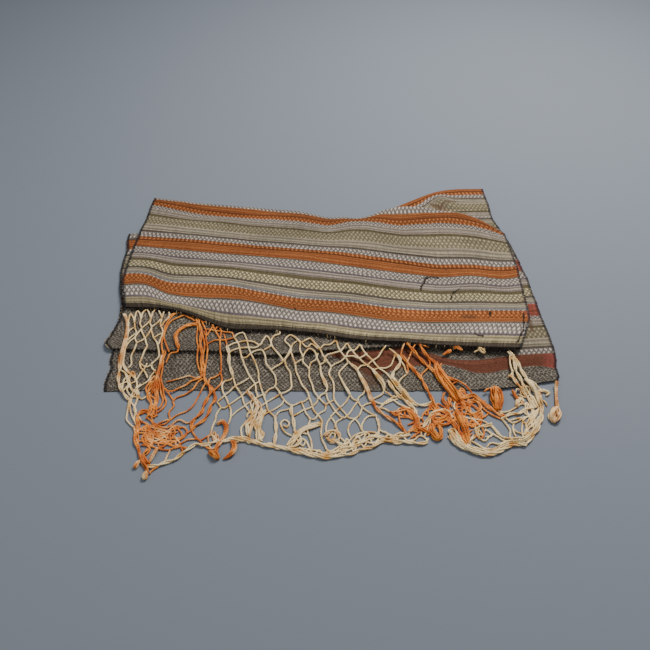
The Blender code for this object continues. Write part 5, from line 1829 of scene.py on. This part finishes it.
def striped_cloth():
    recipe = Recipe("striped_cloth")
    weave = read_weave(recipe)
    stripes, diamonds = woven_bands(recipe, weave)
    dark, red = dark_and_red(recipe, weave)
    in_dark = weave.place.above(DARK_START, 0.4)
    in_red = weave.place.above(BAND_START - 6, 0.4)
    colour = recipe.mix(in_dark, reddened(recipe, weave, stripes), dark)
    colour = recipe.mix(in_red, colour, red)

    from_edge = CLOTH_WIDTH / 2 - (weave.width - CLOTH_WIDTH / 2).size()
    at_edge = 1.0 - from_edge.above(SELVAGE_WIDTH, 1.5)
    beads = (weave.place / BEAD_LENGTH).peaks()
    colour = recipe.mix(at_edge * beads.ranging(0.55, 0.95), colour, SELVAGE)

    shade, streaks = cloth_shade(recipe, weave)
    colour = marked(recipe, weave, recipe.shaded(colour, shade))
    warp = (weave.along * (2 * math.pi / WARP_PITCH)).sine() * 0.25
    weft = (weave.place * (2 * math.pi / WEFT_PITCH)).sine() * 0.35
    relief = warp + weft + diamonds * 0.6 + weave.flecks + streaks
    bump = recipe.node("Bump", (), {"Strength": 0.6, "Distance": 0.0006, "Height": relief})
    surface = recipe.node("BsdfPrincipled", (), {
        "Base Color": colour, "Roughness": 0.95, "Normal": bump, "Specular IOR Level": 0.12})
    return recipe.finish(surface)


shawl.data.materials.clear()
shawl.data.materials.append(striped_cloth())
print("nodes in the cloth's material", len(shawl.data.materials[0].node_tree.nodes))

# %% [markdown]
# ## The yarn
# The fringe is cream cotton that took an orange dye in places. Each strand could have its own
# material, but then the dye couldn't change along it. So a mesh attribute says how much dye a
# point has, and two more say how deep it lies between the plies and how dark the yarn is. The
# depth between the plies darkens the colour there as painted shade, and the dark warp ends of
# the hem are partly painted shadow.

# %% The yarn's material
CREAM = srgb(255, 230, 176)
CREAM_SHADE = srgb(224, 176, 98)
YARN_ORANGE = srgb(252, 160, 68)
YARN_RUST = srgb(192, 98, 38)
CREAM_GROOVE_SHADE = srgb(132, 94, 50)
ORANGE_GROOVE_SHADE = srgb(120, 54, 20)
DARK_YARN_AND_HEM_SHADOW = srgb(38, 32, 29)
GROOVE_SHADE_STRENGTH = 0.52
FIBRE_SHADES = (0.75, 1.25)


def fringe_yarn(name):
    recipe = Recipe(name)
    dye = recipe.node("Attribute", {"attribute_name": "dye"}, (), 2)
    groove = recipe.node("Attribute", {"attribute_name": "groove"}, (), 2)
    dark = recipe.node("Attribute", {"attribute_name": "dark"}, (), 2)
    spot = recipe.node("TexCoord", (), (), 3)
    patches = recipe.soft_noise(spot, 62.0, 3.0)
    fibres = recipe.soft_noise(spot, 900.0, 2.0)
    soaked = (dye + (patches - 0.5) * 0.8).above(0.42, 0.5)
    cream = recipe.mix(patches.above(0.56, 0.2), CREAM, CREAM_SHADE)
    orange = recipe.mix(patches.above(0.49, 0.25), YARN_ORANGE, YARN_RUST)
    colour = recipe.mix(soaked, cream, orange)
    # Painted shade in the grooves between the plies.
    groove_shade = groove.above(0.5, 0.7) * GROOVE_SHADE_STRENGTH
    colour = recipe.mix(groove_shade, colour, recipe.mix(soaked, CREAM_GROOVE_SHADE, ORANGE_GROOVE_SHADE))
    # Near-black yarn: for dark strands, and for the hem's warp ends, where it is partly painted shadow.
    colour = recipe.mix(dark, colour, DARK_YARN_AND_HEM_SHADOW)
    colour = recipe.shaded(colour, fibres.ranging(*FIBRE_SHADES))
    bump = recipe.node("Bump", (), {"Strength": 0.4, "Distance": 0.0004, "Height": fibres})
    surface = recipe.node("BsdfPrincipled", (), {
        "Base Color": colour, "Roughness": 0.85, "Normal": bump, "Specular IOR Level": 0.2})
    return recipe.finish(surface)


yarn_material = fringe_yarn("fringe_yarn")
for piece in fringe_pieces + [frayed_ends]:
    piece.data.materials.append(yarn_material)
far_locks.data.materials.append(fringe_yarn("far_fringe_yarn"))

print("yarn pieces", len(fringe_pieces) + 2)

# %% [markdown]
# ## The table and the light
# The photograph was taken on plain grey paper in soft light. The floor here is plain and pale,
# and two wide lamps give soft shadows.

# %% Floor and lamps
FLOOR_SIZE = 14.0
FLOOR_COLOUR = srgb(111, 117, 125)
FLOOR_GAP = 0.0002
SKY_COLOUR = (0.80, 0.84, 0.90, 1.0)
SKY_STRENGTH = 0.38

bpy.ops.mesh.primitive_plane_add(size=FLOOR_SIZE, location=(0, 0, -FLOOR_GAP))
floor = bpy.context.object
floor.name = "floor"
floor_recipe = Recipe("plain_floor")
floor.data.materials.append(floor_recipe.finish(floor_recipe.node("BsdfPrincipled", (), {
    "Base Color": FLOOR_COLOUR, "Roughness": 0.9, "Specular IOR Level": 0.1})))


def add_lamp(name, place, size, watts, warmth):
    data = bpy.data.lights.new(name, "AREA")
    data.shape = "SQUARE"
    data.size = size
    data.energy = watts
    data.color = warmth
    lamp = bpy.data.objects.new(name, data)
    lamp.location = place
    lamp.rotation_euler = (-Vector(place)).to_track_quat("-Z", "Y").to_euler()
    bpy.context.scene.collection.objects.link(lamp)


add_lamp("key", (0.75, 1.0, 1.6), 0.7, 63.0, (1.0, 0.98, 0.95))
add_lamp("fill", (-1.2, -0.6, 1.8), 1.6, 12.0, (0.97, 0.98, 1.0))
world = bpy.data.worlds.new("soft light")
bpy.context.scene.world = world
world.use_nodes = True
world.node_tree.nodes["Background"].inputs[0].default_value = SKY_COLOUR
world.node_tree.nodes["Background"].inputs[1].default_value = SKY_STRENGTH
print("floor", FLOOR_SIZE, "m wide, and", len(bpy.data.lights), "lamps")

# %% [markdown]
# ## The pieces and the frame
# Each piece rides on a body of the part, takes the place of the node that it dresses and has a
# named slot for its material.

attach(shawl, "root")
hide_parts("shawl_cloth")
for piece in fringe_pieces + [frayed_ends]:
    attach(piece, "root")
    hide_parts("net_fringe")
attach(far_locks, "root")
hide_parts("far_fringe")
fringe_pieces + [frayed_ends, far_locks]
